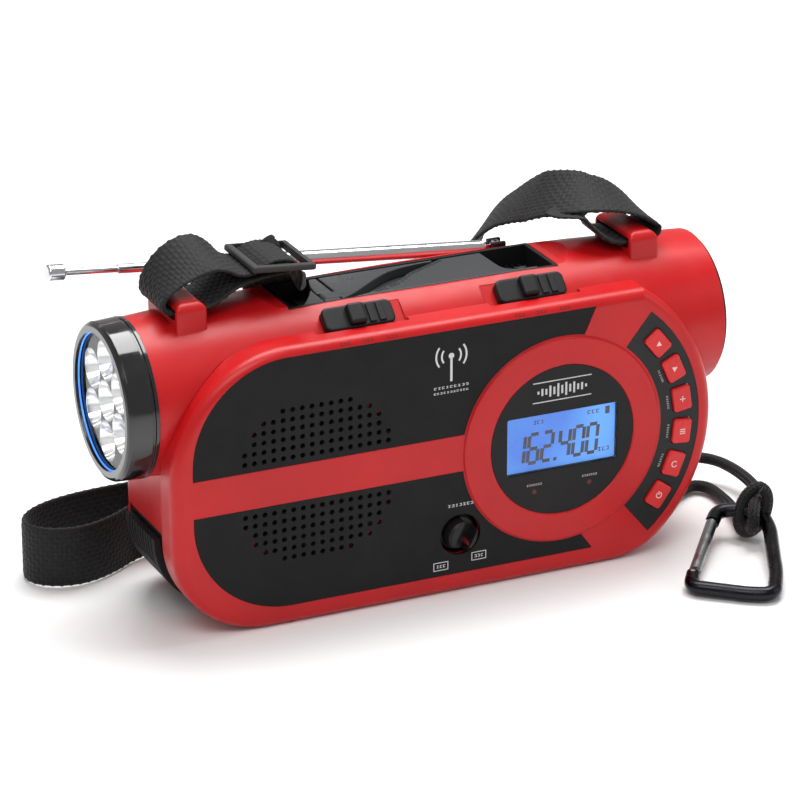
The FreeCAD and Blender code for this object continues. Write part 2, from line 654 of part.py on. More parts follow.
GRIP_LOBE = [GRIP_CURVE, [(17.5, 10.5), (17.5, 11.4)], [(17.5, 11.4), (-27.2, 11.4)],
             [(-27.2, 11.4), (-27.2, -10.4)], [(-27.2, -10.4), (-26.2, -10.4)]]
HEEL = [[(-28.2, 11.4), (-30.8, 11.4)], [(-30.8, 11.4), (-33, 5.5), (-34, -0.8)],
        [(-34, -0.8), (-34, -3.1)], [(-34, -3.1), (-28.2, -3.1)], [(-28.2, -3.1), (-28.2, 11.4)]]
STOP = [[(-34.5, -11.8), (-34.5, 1.4)], [(-34.5, 1.4), (-35.6, -0.2)],
        [(-35.6, -0.2), (-39.2, -6.4), (-43.2, -11.8)], [(-43.2, -11.8), (-34.5, -11.8)]]


def lobe(name, runs, bottom, top):
    """A plate with the given outline, from z = bottom to z = top."""
    edges = []
    for run in runs:
        points = [Vector(x, y, bottom) for x, y in run]
        if len(points) == 2:
            curve = Part.LineSegment(*points)
        else:
            curve = Part.BSplineCurve()
            curve.interpolate(points)
        edges.append(curve.toShape())
    outline = Part.Wire(Part.__sortEdges__(edges))
    return feature(name, Part.Face(outline).extrude(Vector(0, 0, top - bottom)))


def rim(top):
    """Chooser of the edges that lie in the plane z = top."""
    return lambda edge: edge.BoundBox.ZMin > top - 0.01


def make_tray():
    half, skin, floor = value("tray_half"), value("tray_skin"), value("tray_floor + tray_skin")
    tray = block("tray_block", ("tray_left", "-tray_half", "tray_floor"),
                 ("tray_right - tray_left", "2 * tray_half", "saddle_high - tray_floor - 0.2"))
    inside = block("tray_inside", ("tray_left + tray_skin", "-tray_half + tray_skin", floor),
                   ("tray_right - tray_left - 2 * tray_skin", "2 * tray_half - 2 * tray_skin", 20))
    ear = block("tray_ear", ("crank_pin_x - 2.4", "tray_ear - 1.4", "tray_floor"), (4.8, 1.4, 6))
    pin_bore = rod("tray_pin_bore", "pin_round + 0.03", half + 2,
                   ("crank_pin_x", "-tray_half", "crank_pin_high"), "Y")
    rib_starts = [value("tray_left") + 4 + 2.6 * n for n in range(4)] \
        + [value("tray_right") - 4 - 2.6 * n for n in range(4)]
    ribs = [block(f"tray_rib_{i}", (x, 1, floor), (0.8, half - skin - 1, 0.8))
            for i, x in enumerate(rib_starts, start=1)]
    places = gear_places()[:2]
    bosses = [rod(f"tray_boss_{kind}", 3.6, 5.5, (x, 0, "tray_floor - 5.4")) for kind, _, x, _ in places]
    axles = [rod(f"tray_bore_{kind}", "axle_round + 0.05", 5.4, (x, 0, "tray_floor - 5.5"))
             for kind, _, x, _ in places]
    hollow = cut("tray_open", tray, inside)
    cut("crank_tray", fuse("tray_with_ears", hollow, ear, *ribs, *bosses), pin_bore, *axles)
    rounded("crank_stop", lobe("stop_blank", STOP, floor, value("lobe_top")), 0.4,
            rim(value("lobe_top")))


def make_crank():
    low = value("crank_pin_high - arm_thick / 2")
    deck, top = value("crank_pin_high + arm_thick / 2"), value("lobe_top")
    under = value("grip_gap") + deck

    plate = lobe("arm_plate", DECK, low, deck)
    knuckle = rod("arm_knuckle", 2.4, 9.5, ("crank_pin_x", -11, "crank_pin_high"), "Y")
    hub_lobe = rounded("arm_lobe", lobe("arm_lobe_blank", ARM_LOBE, deck, top), 0.5, rim(top))
    heel = rounded("arm_heel", lobe("arm_heel_blank", HEEL, deck, top), 0.4, rim(top))
    ear = block("arm_ear", (-34, -11.4, deck), (5.8, 1.9, top - deck))
    slot = block("arm_slot", ("grip_pin_x - 5.2", -9.4, low - 1), (9, 6.2, deck - low + 2))
    hub_bore = rod("arm_bore", "pin_round + 0.03", 40, ("crank_pin_x", -20, "crank_pin_high"), "Y")
    grip_bore = rod("arm_grip_bore", 0.83, 19, ("grip_pin_x", -20, "grip_pin_high"), "Y")
    grooves = []
    for before, after in zip(ARM_CURVE[2:-1], ARM_CURVE[3:]):
        run = Vector(after[0] - before[0], after[1] - before[1], 0)
        for i in range(int(run.Length / 1.1)):
            at = Vector(*before, top - 0.5) + run * (1.1 * i / run.Length)
            turn = math.degrees(math.atan2(run.y, run.x))
            groove = doc.addObject("Part::Box", f"arm_groove_{len(grooves)}")
            bind(groove, Length=0.45, Width=2.6, Height=1)
            groove.Placement = Placement(at, Rotation(Vector(0, 0, 1), turn)).multiply(
                Placement(Vector(0, -2.4, 0), Rotation()))
            grooves.append(groove)
    cut("crank_arm", fuse("arm_blank", plate, knuckle, hub_lobe, heel, ear), slot, hub_bore,
        grip_bore, *grooves)
    rod("crank_pin", "pin_round", "tray_half - 0.4 + tray_ear",
        ("crank_pin_x", "-tray_half + 0.4", "crank_pin_high"), "Y")

    grip_lobe = rounded("grip_lobe", lobe("grip_lobe_blank", GRIP_LOBE, under, top), 0.3, rim(top))
    neck = block("grip_neck", ("grip_pin_x - 2", -9.2, under), (6, 5.8, top - under))
    eye = rod("grip_eye", (top - under) / 2, 5.8, ("grip_pin_x - 2", -9.2, (top + under) / 2), "Y")
    grip_pin = rod("grip_pin", 0.8, 9, ("grip_pin_x", -11, "grip_pin_high"), "Y")
    fuse("crank_grip", grip_lobe, neck, eye, grip_pin)


def gear_places():
    """Each gear's name, teeth, place along X and first tooth's turn, all in mesh."""
    module = value("gear_module")
    drive, idler, pinion = (int(value(f"{kind}_teeth")) for kind in ("drive", "idler", "pinion"))
    drive_x = value("drive_x")
    idler_x = drive_x - module * (drive + idler) / 2
    pinion_x = idler_x - module * (idler + pinion) / 2
    return [("drive_gear", drive, drive_x, 0), ("idler_gear", idler, idler_x, math.pi / idler),
            ("generator_rotor", pinion, pinion_x, 0)]


def gear(name, teeth, x, phase, stub):
    """A spur gear with plain flanks about a vertical axis, on a stub up or down."""
    module, thick = value("gear_module"), value("gear_thick")
    pitch = module * teeth / 2
    tip, root = pitch + 0.9 * module, pitch - 1.25 * module
    step = 2 * math.pi / teeth
    corners = []
    for i in range(teeth):
        middle = phase + i * step
        for share, radius in ((-0.29, root), (-0.12, tip), (0.12, tip), (0.29, root)):
            turn = middle + share * step
            corners.append(Vector(radius * math.cos(turn), radius * math.sin(turn), 0))
    wheel = Part.Face(Part.makePolygon(corners + corners[:1])).extrude(Vector(0, 0, thick))
    axle = Part.makeCylinder(value("axle_round"), abs(stub) + thick, Vector(0, 0, min(stub, 0)))
    return feature(name, wheel.fuse(axle).removeSplitter(),
                   Placement(Vector(x, 0, value("gear_low")), Rotation()))


def make_gears():
    stub = value("gear_stub")
    (*_, pinion_x, _) = gear_places()[2]
    for name, teeth, x, phase in gear_places():
        gear(name, teeth, x, phase, -stub if name == "generator_rotor" else stub)
    case = rod("generator_case", 12, 20, (pinion_x, 0, "gear_low - 24"))
    bore = rod("generator_bore", "axle_round + 0.05", 30, (pinion_x, 0, "gear_low - 8"))
    cut("generator", case, bore)


# ---------------------------------------------------------------- inside

def make_inside():
    frame = turned("basket_blank", [(0, 31), (0, 32.5), (3, 32.5), (14, 18), (22, 18), (22, 0), (19, 0),
                                    (12.5, 15), (2, 31)],
                   ("speaker_x", "slab_front + 4", "speaker_high"), "Y")
    frame.Label = "speaker_frame"
    cone_part = turned("speaker_cone_blank", [(0.8, 28.5), (0.8, 30.5), (1.4, 30.5), (9.5, 9), (6.5, 0),
                                              (5.7, 0), (8.6, 9)],
                       ("speaker_x", "slab_front + 4", "speaker_high"), "Y")
    cone_part.Label = "speaker_cone"
    board = block("board_plate", (-8, -18, 10), (86, 1.6, 60))
    chip_sizes = ((10, 30, 14, 14), (34, 18, 18, 10), (62, 40, 12, 16), (20, 54, 20, 8))
    fuse("main_board", board, *[block(f"chip_{i}", (x, -16.4, z), (wide, 2.2, tall))
                                for i, (x, z, wide, tall) in enumerate(chip_sizes, start=1)])
    fuse("battery_cells", *[rod(f"cell_{i}", 7.1, 49, (-68.5, 14.6, 18.5 + 15.6 * i), "X")
                            for i in range(3)])


def make_battery_door():
    back = "rear_back - wall"
    plate = block("door_plate", (-73.7, back, 9.3), (59.4, "wall", 49.4))
    ribs = [block(f"door_rib_{i}", (-52, "rear_back - 0.8", 42 + 2.4 * i), (16, 2, 1))
            for i in range(5)]
    cut("battery_door", rounded("door_soft", plate, 1.0, lambda edge: edge.BoundBox.YLength < 0.01
                                and edge.BoundBox.YMin > value("rear_back") - 0.01), *ribs)


def corner_band(name, deep_from, deep_to, y, wide, low, high):
    """A piece of skin that follows the casing's round lower left corner."""
    outer, inner = body(name + "_outer"), body(name + "_inner")
    pad(outer, slab_outline(deep_from, "rear_low_round"), y, wide)
    pad(inner, slab_outline(deep_to, "rear_low_round"), f"{y} - 1", f"{wide} + 2")
    window = block(name + "_window", (-110, y, low), (45, wide, high - low))
    return cut(name, common(name + "_skin", outer, window), inner)


def make_ports():
    inset, wall = value("rear_inset"), value("wall")
    panel = corner_band("port_plate", inset + 0.6, inset + wall, -14, 32, 6, 33.5)
    jacks = [rod("jack_hole", 2.6, 40, (-110, -4, 27), "X"),
             block("usb_hole", (-110, 2.5, 18), (40, 9, 4)),
             rod("power_hole", 2.8, 40, (-110, 10, 28), "X")]
    cut("port_panel", panel, *jacks)
    cover = corner_band("port_cover_skin", 1.6, inset + 0.3, -12, 28, 7.5, 31)
    grips = [block(f"cover_groove_{i}", (-110, -9 + 2.6 * i, 20), (45, 1, 11.5)) for i in range(9)]
    shade = corner_band("port_cover_core", 2.3, inset + 0.3, -13, 30, 7, 32)
    fuse("port_cover", cut("cover_grooved", cover, *grips), common("cover_core", cover, shade))
    jack = rod("jack_barrel", 4, 12, (-92, -4, 27), "X")
    hole = rod("jack_barrel_hole", 1.8, 11, (-92.5, -4, 27), "X")
    cut("audio_jack", jack, hole)
    socket = block("usb_block", (-88, 2.2, 17.2), (9, 9.6, 5.6))
    mouth = block("usb_mouth", (-88.5, 2.8, 17.8), (7, 8.4, 4.4))
    cut("usb_socket", socket, mouth)


# ---------------------------------------------------------------- antenna

def mast_place(distance):
    """The point of the mast's line at a distance from its pivot, and its turn."""
    rise = math.radians(value("mast_rise"))
    pivot = Vector(value("mast_x"), value("mast_y"), value("mast_high"))
    return (Placement(pivot + Vector(-math.cos(rise), 0, math.sin(rise)) * distance,
                      Rotation(Vector(0, 1, 0), -90 + value("mast_rise"))))


def mast_tube(name, radius, bore, start, end):
    tube = Part.makeCylinder(radius, end - start)
    if bore:
        tube = tube.cut(Part.makeCylinder(bore, end - start - 1.5, Vector(0, 0, 1.5)))
    return feature(name, tube, mast_place(start))


def make_antenna():
    step, clear = value("section_step"), value("section_clear")
    radii = [value("root_round") - step * i for i in range(4)]
    root = mast_tube("mast_root_tube", radii[0], radii[1] + clear, 6, 98)
    tang = block("mast_tang", ("mast_x - 8", "mast_y - 1.4", "mast_high - 1.7"), (8, 2.8, 3.6))
    eye = rod("mast_eye", 2.6, 2.8, ("mast_x", "mast_y - 1.4", "mast_high"), "Y")
    pin_bore = rod("mast_pin_bore", 0.93, 6, ("mast_x", "mast_y - 3", "mast_high"), "Y")
    cut("mast_root", fuse("mast_root_blank", root, tang, eye), pin_bore)
    mast_tube("mast_middle", radii[1], radii[2] + clear, 20, 128)
    mast_tube("mast_upper", radii[2], radii[3] + clear, 50, 150)
    wire = mast_tube("mast_wire", radii[3], 0, 75, 171)
    knob = mast_tube("mast_knob", 3.0, 0, 170, 176.5)
    tip = fuse("mast_tip_blank", wire, rounded("mast_knob_soft", knob, 0.8, lambda edge: True))
    tip.Label = "mast_tip"

    turret = rod("mast_turret_foot", 5.2, 3.2, ("mast_x", "mast_y", "mast_high - 6.1"))
    stem = rod("mast_turret_stem", 2.95, 8, ("mast_x", "mast_y", "mast_high - 13.8"))
    ears = [block(f"mast_ear_{i}", ("mast_x - 2.6", y, "mast_high - 3.5"), (5.2, 1.6, 6))
            for i, y in enumerate(("mast_y - 3.1", "mast_y + 1.5"), start=1)]
    gap = block("mast_gap", ("mast_x - 8", "mast_y - 1.5", "mast_high - 2.9"), (16, 3.0, 8))
    pin = rod("mast_pin", 0.9, 6.2, ("mast_x", "mast_y - 3.1", "mast_high"), "Y")
    fuse("mast_turret", cut("mast_turret_blank", fuse("mast_turret_solid", turret, *ears), gap), stem, pin)


# ---------------------------------------------------------------- strap, cord, carabiner

# Each station of the strap: the band's middle, and the direction across the band.
STRAP = [
    ((-47, 1.2, 123.4), (0, 1, 0)), ((-52, 1.2, 123.2), (0, 1, 0)), ((-58, 1.1, 122.7), (0, 1, 0)),
    ((-66, 0.8, 121.2), (0, 1, 0)), ((-71.5, 0.4, 118.6), (0, 1, 0)), ((-77.5, 0, 115.2), (0, 1, 0)),
    ((-92, 0, 114.3), (0, 1, 0)), ((-95, 0.3, 116.4), (0, 1, 0)), ((-94.6, 0.8, 120.6), (-0.04, 1, 0.05)),
    ((-90, 1.2, 125.6), (-0.1, 1, 0.2)), ((-83.5, 1.5, 129.6), (-0.08, 1, 0.35)),
    ((-76, 1.5, 131.4), (-0.05, 1, 0.35)),
    ((-70.4, 1.4, 128.9), (0, 1, 0.2)), ((-66.5, 1.2, 125.4), (0, 1, 0.06)), ((-62, 1.2, 124.4), (0, 1, 0)),
    ((-58.6, 1.2, 125.4), (0, 1, 0)), ((-55.4, 1.2, 127.6), (0, 1, 0)), ((-52, 1.2, 128.3), (0, 1, 0)),
    ((-47.6, 1.2, 127.9), (0, 1, 0)), ((-44.6, 1.2, 126.2), (0, 1, 0)), ((-43.2, 1.3, 123.6), (0, 1, 0)),
    ((-43.6, 4.6, 120.6), (-0.4, 0.92, 0)), ((-44.2, 11.5, 117.2), (-0.75, 0.65, 0)),
    ((-41.2, 20.6, 111), (-0.95, 0.25, 0)), ((-37.5, 27, 104.6), (-1, 0.1, 0)), ((-36, 36, 94), (-1, 0, 0)),
    ((-36, 41, 74), (-1, 0, -0.1)), ((-41, 42, 48), (-0.85, 0, -0.5)), ((-53, 42, 26), (-0.5, 0, -0.86)),
    ((-70, 42, 13.5), (-0.1, 0, -1)), ((-88, 40, 12.2), (0, 0, -1)), ((-102, 30, 12.2), (0, 0, -1)),
    ((-116, 25.5, 12.2), (0, 0, -1)), ((-129, 30, 12.2), (0, 0, -1)), ((-133.5, 40, 12.2), (0, 0, -1)),
    ((-126, 50, 12.2), (0, 0, -1)), ((-110, 56, 12.2), (0, 0, -1)), ((-84, 57.5, 12.2), (0, 0, -1)),
    ((-48, 56, 12.2), (0, 0, -1)), ((-10, 58, 12.6), (-0.15, 0, -1)), ((16, 58, 22), (-0.6, 0, -0.8)),
    ((34, 56, 45), (-0.85, 0.1, -0.5)), ((43, 54, 72), (-0.9, -0.4, -0.2)),
    ((50, 50, 95), (-0.75, -0.65, 0.1)),
    ((56.4, 43, 111.5), (-0.48, -0.87, 0.1)), ((63.4, 29.5, 121.8), (-0.3, -0.95, -0.05)),
    ((67, 15.5, 128), (-0.24, -0.93, -0.25)), ((75.5, 4.5, 130.6), (-0.14, -0.93, -0.34)),
    ((86, 2.6, 129), (-0.05, -0.96, -0.3)), ((95, 1.4, 124), (0, -1, -0.18)),
    ((100, 0.6, 118.6), (0, -1, -0.05)), ((99.2, 0.1, 115.4), (0, -1, 0)), ((95, 0, 114.4), (0, -1, 0)),
    ((84.5, 0, 114.4), (0, -1, 0)), ((79.5, 0, 115.8), (0, -1, 0)), ((76, 0.8, 119.4), (0, -1, -0.15)),
    ((73.6, 3.2, 123.6), (-0.1, -0.95, -0.3)), ((69.5, 9.5, 126), (-0.2, -0.93, -0.3)),
]


def make_strap():
    half, thick = value("strap_wide") / 2, value("strap_thick")
    middles = [Vector(*middle) for middle, _ in STRAP]
    frames = []
    for i, (middle, across) in enumerate(STRAP):
        ahead = middles[min(i + 1, len(middles) - 1)] - middles[max(i - 1, 0)]
        side = Vector(*across)
        side = (side - ahead * (side.dot(ahead) / ahead.dot(ahead))).normalize()
        up = ahead.cross(side).normalize() * (thick / 2)
        frames.append([middles[i] + side * half * a + up * b
                       for a, b in ((-1, -1), (1, -1), (1, 1), (-1, 1))])
    faces = [Part.Face(Part.makePolygon(corners + corners[:1])) for corners in (frames[0], frames[-1])]
    for before, after in zip(frames, frames[1:]):
        for i in range(4):
            j = (i + 1) % 4
            for corners in ((before[i], before[j], after[j]), (before[i], after[j], after[i])):
                faces.append(Part.Face(Part.makePolygon(list(corners) + [corners[0]])))
    skin = Part.Compound(faces)
    skin.sewShape()
    band = Part.Solid(skin.Shells[0])
    if band.Volume < 0:
        band.reverse()
    length = sum((b - a).Length for a, b in zip(middles, middles[1:]))
    print(f"strap: length {length:.1f}, volume ratio {band.Volume / (length * 2 * half * thick):.3f}")
    feature("strap", band)


def make_buckle():
    """Tri-glide slider: a plate with two slots, so the strap runs over the bar between them."""
    place = Placement(Vector(-50, 1.2, 125.8), Rotation(Vector(0, 1, 0), 5))
    plate = local_block("buckle_plate", place, (-12.2, -13.8, -1.3), (24.4, 27.6, 2.6))
    soft = rounded("buckle_soft", plate, 1.0, lambda edge: True)
    slots = [local_block(f"buckle_slot_{i}", place, (x, -12, -3), (7.6, 24, 6))
             for i, x in enumerate((-9.8, 2.2), start=1)]
    cut("strap_slider", soft, *slots)


def route_tube(name, points, radius):
    """A cord's solid: straight runs joined by the largest tangent arcs that they allow."""
    points = [Vector(*p) for p in points]
    edges, reach, radii = [], points[0], []
    for before, here, after in zip(points, points[1:], points[2:]):
        back, ahead = (before - here), (after - here)
        trim = 0.45 * min(back.Length, ahead.Length)
        turn = math.pi - back.getAngle(ahead)
        bend = trim / math.tan(turn / 2)
        radii.append(round(bend, 1))
        start, end = here + back.normalize() * trim, here + ahead.normalize() * trim
        inward = (start + end - here * 2).normalize()
        centre = here + inward * (bend / math.cos(turn / 2))
        middle = centre - inward * bend
        edges += [Part.LineSegment(reach, start).toShape(), Part.Arc(start, middle, end).toShape()]
        reach = end
    edges.append(Part.LineSegment(reach, points[-1]).toShape())
    path = Part.Wire(edges)
    section = Part.Wire(Part.makeCircle(radius, points[0], points[1] - points[0]))
    tube = path.makePipeShell([section], True, False)
    expected = math.pi * radius ** 2 * path.Length
    print(f"{name}: length {path.Length:.1f}, volume ratio {tube.Volume / expected:.3f}, radii {radii}")
    return feature(name, tube)


# The lanyard's loop: out of the eye, round the carabiner's crown and back.
LANYARD = [
    (96, 5.3, 12.5), (96.5, -2, 12), (101, -6, 9), (109, -3, 4.5), (118, 4, 3), (127, 9, 3),
    (132, 5, 3), (132.5, -3, 3), (131.8, -10, 3.2), (130, -17, 4), (128.4, -25, 5), (126.2, -33, 6),
    (124.2, -40.5, 6), (122.3, -47.6, 7.5), (122.3, -47.6, 15), (127.4, -39.7, 15.6), (132.6, -33.4, 11.4),
    (137.2, -27, 8.2), (141.4, -18.5, 8), (143.6, -8, 8.2), (143.2, 4, 8.8), (140, 13.6, 9.6),
    (132, 18.6, 10.4), (120, 19.6, 11), (109, 19, 11.6), (101.5, 18, 12), (96.3, 14.5, 12.4), (96, 5.7, 12.5),
]

# The carabiner lies almost flat: u points across it, v from its foot to its crown.
CARABINER = Placement(Vector(93.5, -83, 3.2), Rotation(
    Vector(0.79, -0.61, 0), Vector(0.60, 0.785, 0.14), Vector(-0.085, -0.111, 0.99), "ZXY"))


def make_carabiner():
    route = [(-15.4, 9), (-15, 0.6), (-5, 0.2), (7, -0.4), (15.4, 1.2), (14.4, 14), (10.8, 30), (7.6, 45),
             (3.4, 54.2), (-6, 56.4), (-13.6, 54), (-14.2, 45.5)]
    frame = route_tube("carabiner_rod", [(u, v, 0) for u, v in route], value("rod_round"))
    frame.Placement = CARABINER
    foot, nose = Vector(-15.3, 8.0, 0), Vector(-14.2, 46.0, 0)
    way = (nose - foot).normalize()
    turn = Rotation(Vector(0, 1, 0), way)
    foot_slot = Part.makeBox(8, 8, 2.6, Vector(-4, -2.2, -1.3))
    foot_slot.Placement = Placement(foot, turn)
    nose_slot = Part.makeBox(8, 5.0, 2.0, Vector(-4, -2.0, -1.0))
    nose_slot.Placement = Placement(nose, turn)
    hole = Part.makeCylinder(0.9, 8, foot - Vector(0, 0, 4))
    rooms = [feature(name, shape, CARABINER.multiply(shape.Placement)) for name, shape in
             (("carabiner_foot_slot", foot_slot), ("carabiner_nose_slot", nose_slot), ("rivet_hole", hole))]
    cut("carabiner_frame", frame, *rooms)
    feature("gate_rivet", Part.makeCylinder(0.9, 5.0, foot - Vector(0, 0, 2.5)), CARABINER)
    gate_rod = Part.makeCylinder(2.2, 33.4, foot + way * 3.4, way)
    tongue = Part.makeBox(3.4, 6.4, 2.2, Vector(-1.7, -1.7, -1.1))
    tongue.Placement = Placement(foot, turn)
    finger = Part.makeBox(2.2, 5.4, 1.6, Vector(-1.1, -4.0, -0.8))
    finger.Placement = Placement(nose, turn)
    bore = Part.makeCylinder(0.95, 8, foot - Vector(0, 0, 4))
    gate = gate_rod.fuse([tongue, finger]).cut(bore).removeSplitter()
    feature("carabiner_gate", gate, CARABINER)


# ---------------------------------------------------------------- build and write

NODES = (["front_shell", "rear_shell", "grille_upper", "grille_lower", "display_panel", "lcd_window",
          "lcd_panel", "lcd_backlight", "key_panel", "key_mat", "selector_knob", "selector_switch",
          "lamp_slider", "siren_slider", "lamp_switch", "siren_switch", "lamp_bezel", "lamp_lens",
          "lamp_reflector", "led_board", "led_cluster", "siren_cap", "siren_horn", "crank_tray", "crank_stop",
          "crank_arm", "crank_pin", "crank_grip", "drive_gear", "idler_gear", "generator_rotor",
          "generator", "speaker_frame", "speaker_cone", "main_board", "battery_cells", "feet",
          "case_screws", "battery_door", "port_panel", "port_cover", "audio_jack", "usb_socket",
          "mast_turret", "mast_root", "mast_middle", "mast_upper", "mast_tip", "strap",
          "strap_slider", "lanyard_cord", "carabiner_frame", "carabiner_gate", "gate_rivet"]
         + [f"key_{i}" for i in range(1, 7)])

make_front_shell()
make_rear_shell()
make_feet()
make_screws()
make_grilles()
make_display()
make_keys()
make_selector()
make_sliders()
make_lamp()
make_end_cap()
make_tray()
make_crank()
make_gears()
make_inside()
make_battery_door()
make_ports()
make_antenna()
make_strap()
make_buckle()
route_tube("lanyard_cord", LANYARD, value("cord_round"))
make_carabiner()
doc.recompute()

for item in doc.Objects:
    if "Invalid" in item.State or "Error" in item.State:
        raise SystemExit(f"{item.Name} is {item.State}")

for node in NODES:
    found = [item for item in doc.Objects if item.Label == node]
    if len(found) != 1:
        raise SystemExit(f"{node}: {len(found)} objects carry this label")
    shape = found[0].Shape
    if shape.isNull() or not shape.isValid() or not shape.Solids:
        raise SystemExit(f"{node} has no valid solid")
    print(f"{node}: solids {len(shape.Solids)}, volume {shape.Volume:.0f}")
    shape.exportStep(f"parts/{node}.step")
print(len(NODES), "nodes")
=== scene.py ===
"""Looks of the hand-crank emergency radio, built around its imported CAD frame. Lengths are in metres."""

import json
import math
import random

import bpy
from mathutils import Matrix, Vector
from mathutils.bvhtree import BVHTree


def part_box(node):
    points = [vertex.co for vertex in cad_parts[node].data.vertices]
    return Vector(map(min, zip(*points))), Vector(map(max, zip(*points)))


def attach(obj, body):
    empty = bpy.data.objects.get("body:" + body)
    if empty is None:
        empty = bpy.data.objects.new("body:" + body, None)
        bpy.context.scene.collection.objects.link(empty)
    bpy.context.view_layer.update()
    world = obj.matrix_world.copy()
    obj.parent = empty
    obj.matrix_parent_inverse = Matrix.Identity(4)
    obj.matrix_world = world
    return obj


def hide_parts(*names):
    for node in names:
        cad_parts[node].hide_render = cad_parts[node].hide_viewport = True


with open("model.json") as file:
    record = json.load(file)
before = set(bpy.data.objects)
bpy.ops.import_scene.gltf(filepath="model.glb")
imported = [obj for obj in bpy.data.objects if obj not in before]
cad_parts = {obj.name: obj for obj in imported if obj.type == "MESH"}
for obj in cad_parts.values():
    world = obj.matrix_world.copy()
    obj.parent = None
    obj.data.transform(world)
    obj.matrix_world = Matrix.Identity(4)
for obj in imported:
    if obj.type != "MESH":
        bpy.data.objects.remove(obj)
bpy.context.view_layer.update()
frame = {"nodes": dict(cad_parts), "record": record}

MM = 0.001
NODES = frame["nodes"]
BODY_OF = {node: body for body, members in frame["record"]["behaviour"]["bodies"].items() for node in members}


# ---------------------------------------------------------------- places read from the frame

def middle(node):
    low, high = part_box(node)
    return (low + high) / 2


def size(node):
    low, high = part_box(node)
    return high - low


DISC = middle("display_panel")                # centre of the round display panel
WINDOW_LOW, WINDOW_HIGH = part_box("lcd_window")
KNOB = middle("selector_knob")
LAMP = middle("lamp_bezel")


# ---------------------------------------------------------------- camera, floor, light

AZIMUTH, ELEVATION = math.radians(24.7), math.radians(22.1)
CAMERA_AWAY = 1.45
LENS = 176.4
AIM = Vector((0.0092, 0.0200, 0.0542))


def make_camera():
    """It looks at AIM from the front left and a little above, turned by AZIMUTH and raised by ELEVATION."""
    back = Vector((-math.sin(AZIMUTH) * math.cos(ELEVATION), -math.cos(AZIMUTH) * math.cos(ELEVATION),
                   math.sin(ELEVATION)))
    data = bpy.data.cameras.new("camera")
    data.lens = LENS
    data.sensor_width = 36
    camera = bpy.data.objects.new("camera", data)
    camera.location = AIM + back * CAMERA_AWAY
    camera.rotation_euler = (-back).to_track_quat("-Z", "Y").to_euler()
    bpy.context.scene.collection.objects.link(camera)
    bpy.context.scene.camera = camera


WORLD_STRENGTH = 0.38
LIGHTS_AIM = Vector((0, 0, 0.06))
LIGHTS = [                                    # name, place, width, height, power in watts
    ("key", (-0.35, -0.55, 0.95), 0.7, 0.5, 4.2),
    ("top", (0.15, 0.25, 1.0), 0.9, 0.6, 14),
    ("fill", (0.9, -0.5, 0.45), 0.5, 0.5, 1.2),
]
FLOOR_SIDE = 12


def make_light():
    """An even white surround, and three soft boxes aimed at the object's middle."""
    world = bpy.data.worlds.new("studio")
    world.use_nodes = True
    backdrop = world.node_tree.nodes["Background"]
    backdrop.inputs["Color"].default_value = (1.0, 1.0, 1.0, 1.0)
    backdrop.inputs["Strength"].default_value = WORLD_STRENGTH
    bpy.context.scene.world = world
    bpy.context.scene.view_settings.view_transform = "Standard"
    for name, place, width, height, power in LIGHTS:
        data = bpy.data.lights.new(name, "AREA")
        data.shape = "RECTANGLE"
        data.size = width
        data.size_y = height
        data.energy = power
        lamp = bpy.data.objects.new(name, data)
        lamp.location = place
        lamp.rotation_euler = (LIGHTS_AIM - Vector(place)).to_track_quat("-Z", "Y").to_euler()
        bpy.context.scene.collection.objects.link(lamp)


def make_floor():
    bpy.ops.mesh.primitive_plane_add(size=FLOOR_SIDE, location=(0, 0, 0))
    floor = bpy.context.object
    floor.name = "floor"
    paper = Surface("floor_paper", srgb(244, 244, 244), 0.75)
    paper.bump(paper.noise(900), 0.00002)
    floor.data.materials.append(paper.material)


# ---------------------------------------------------------------- materials

def srgb(red, green, blue):
    """A colour given as it looks on a screen, 0 to 255, as the linear colour that shaders take."""
    channels = [c / 255 for c in (red, green, blue)]
    return tuple(c / 12.92 if c <= 0.04045 else ((c + 0.055) / 1.055) ** 2.4 for c in channels) + (1.0,)


NOISE_LOW, NOISE_HIGH = 0.3, 0.7              # the range that a noise texture's values mostly lie in


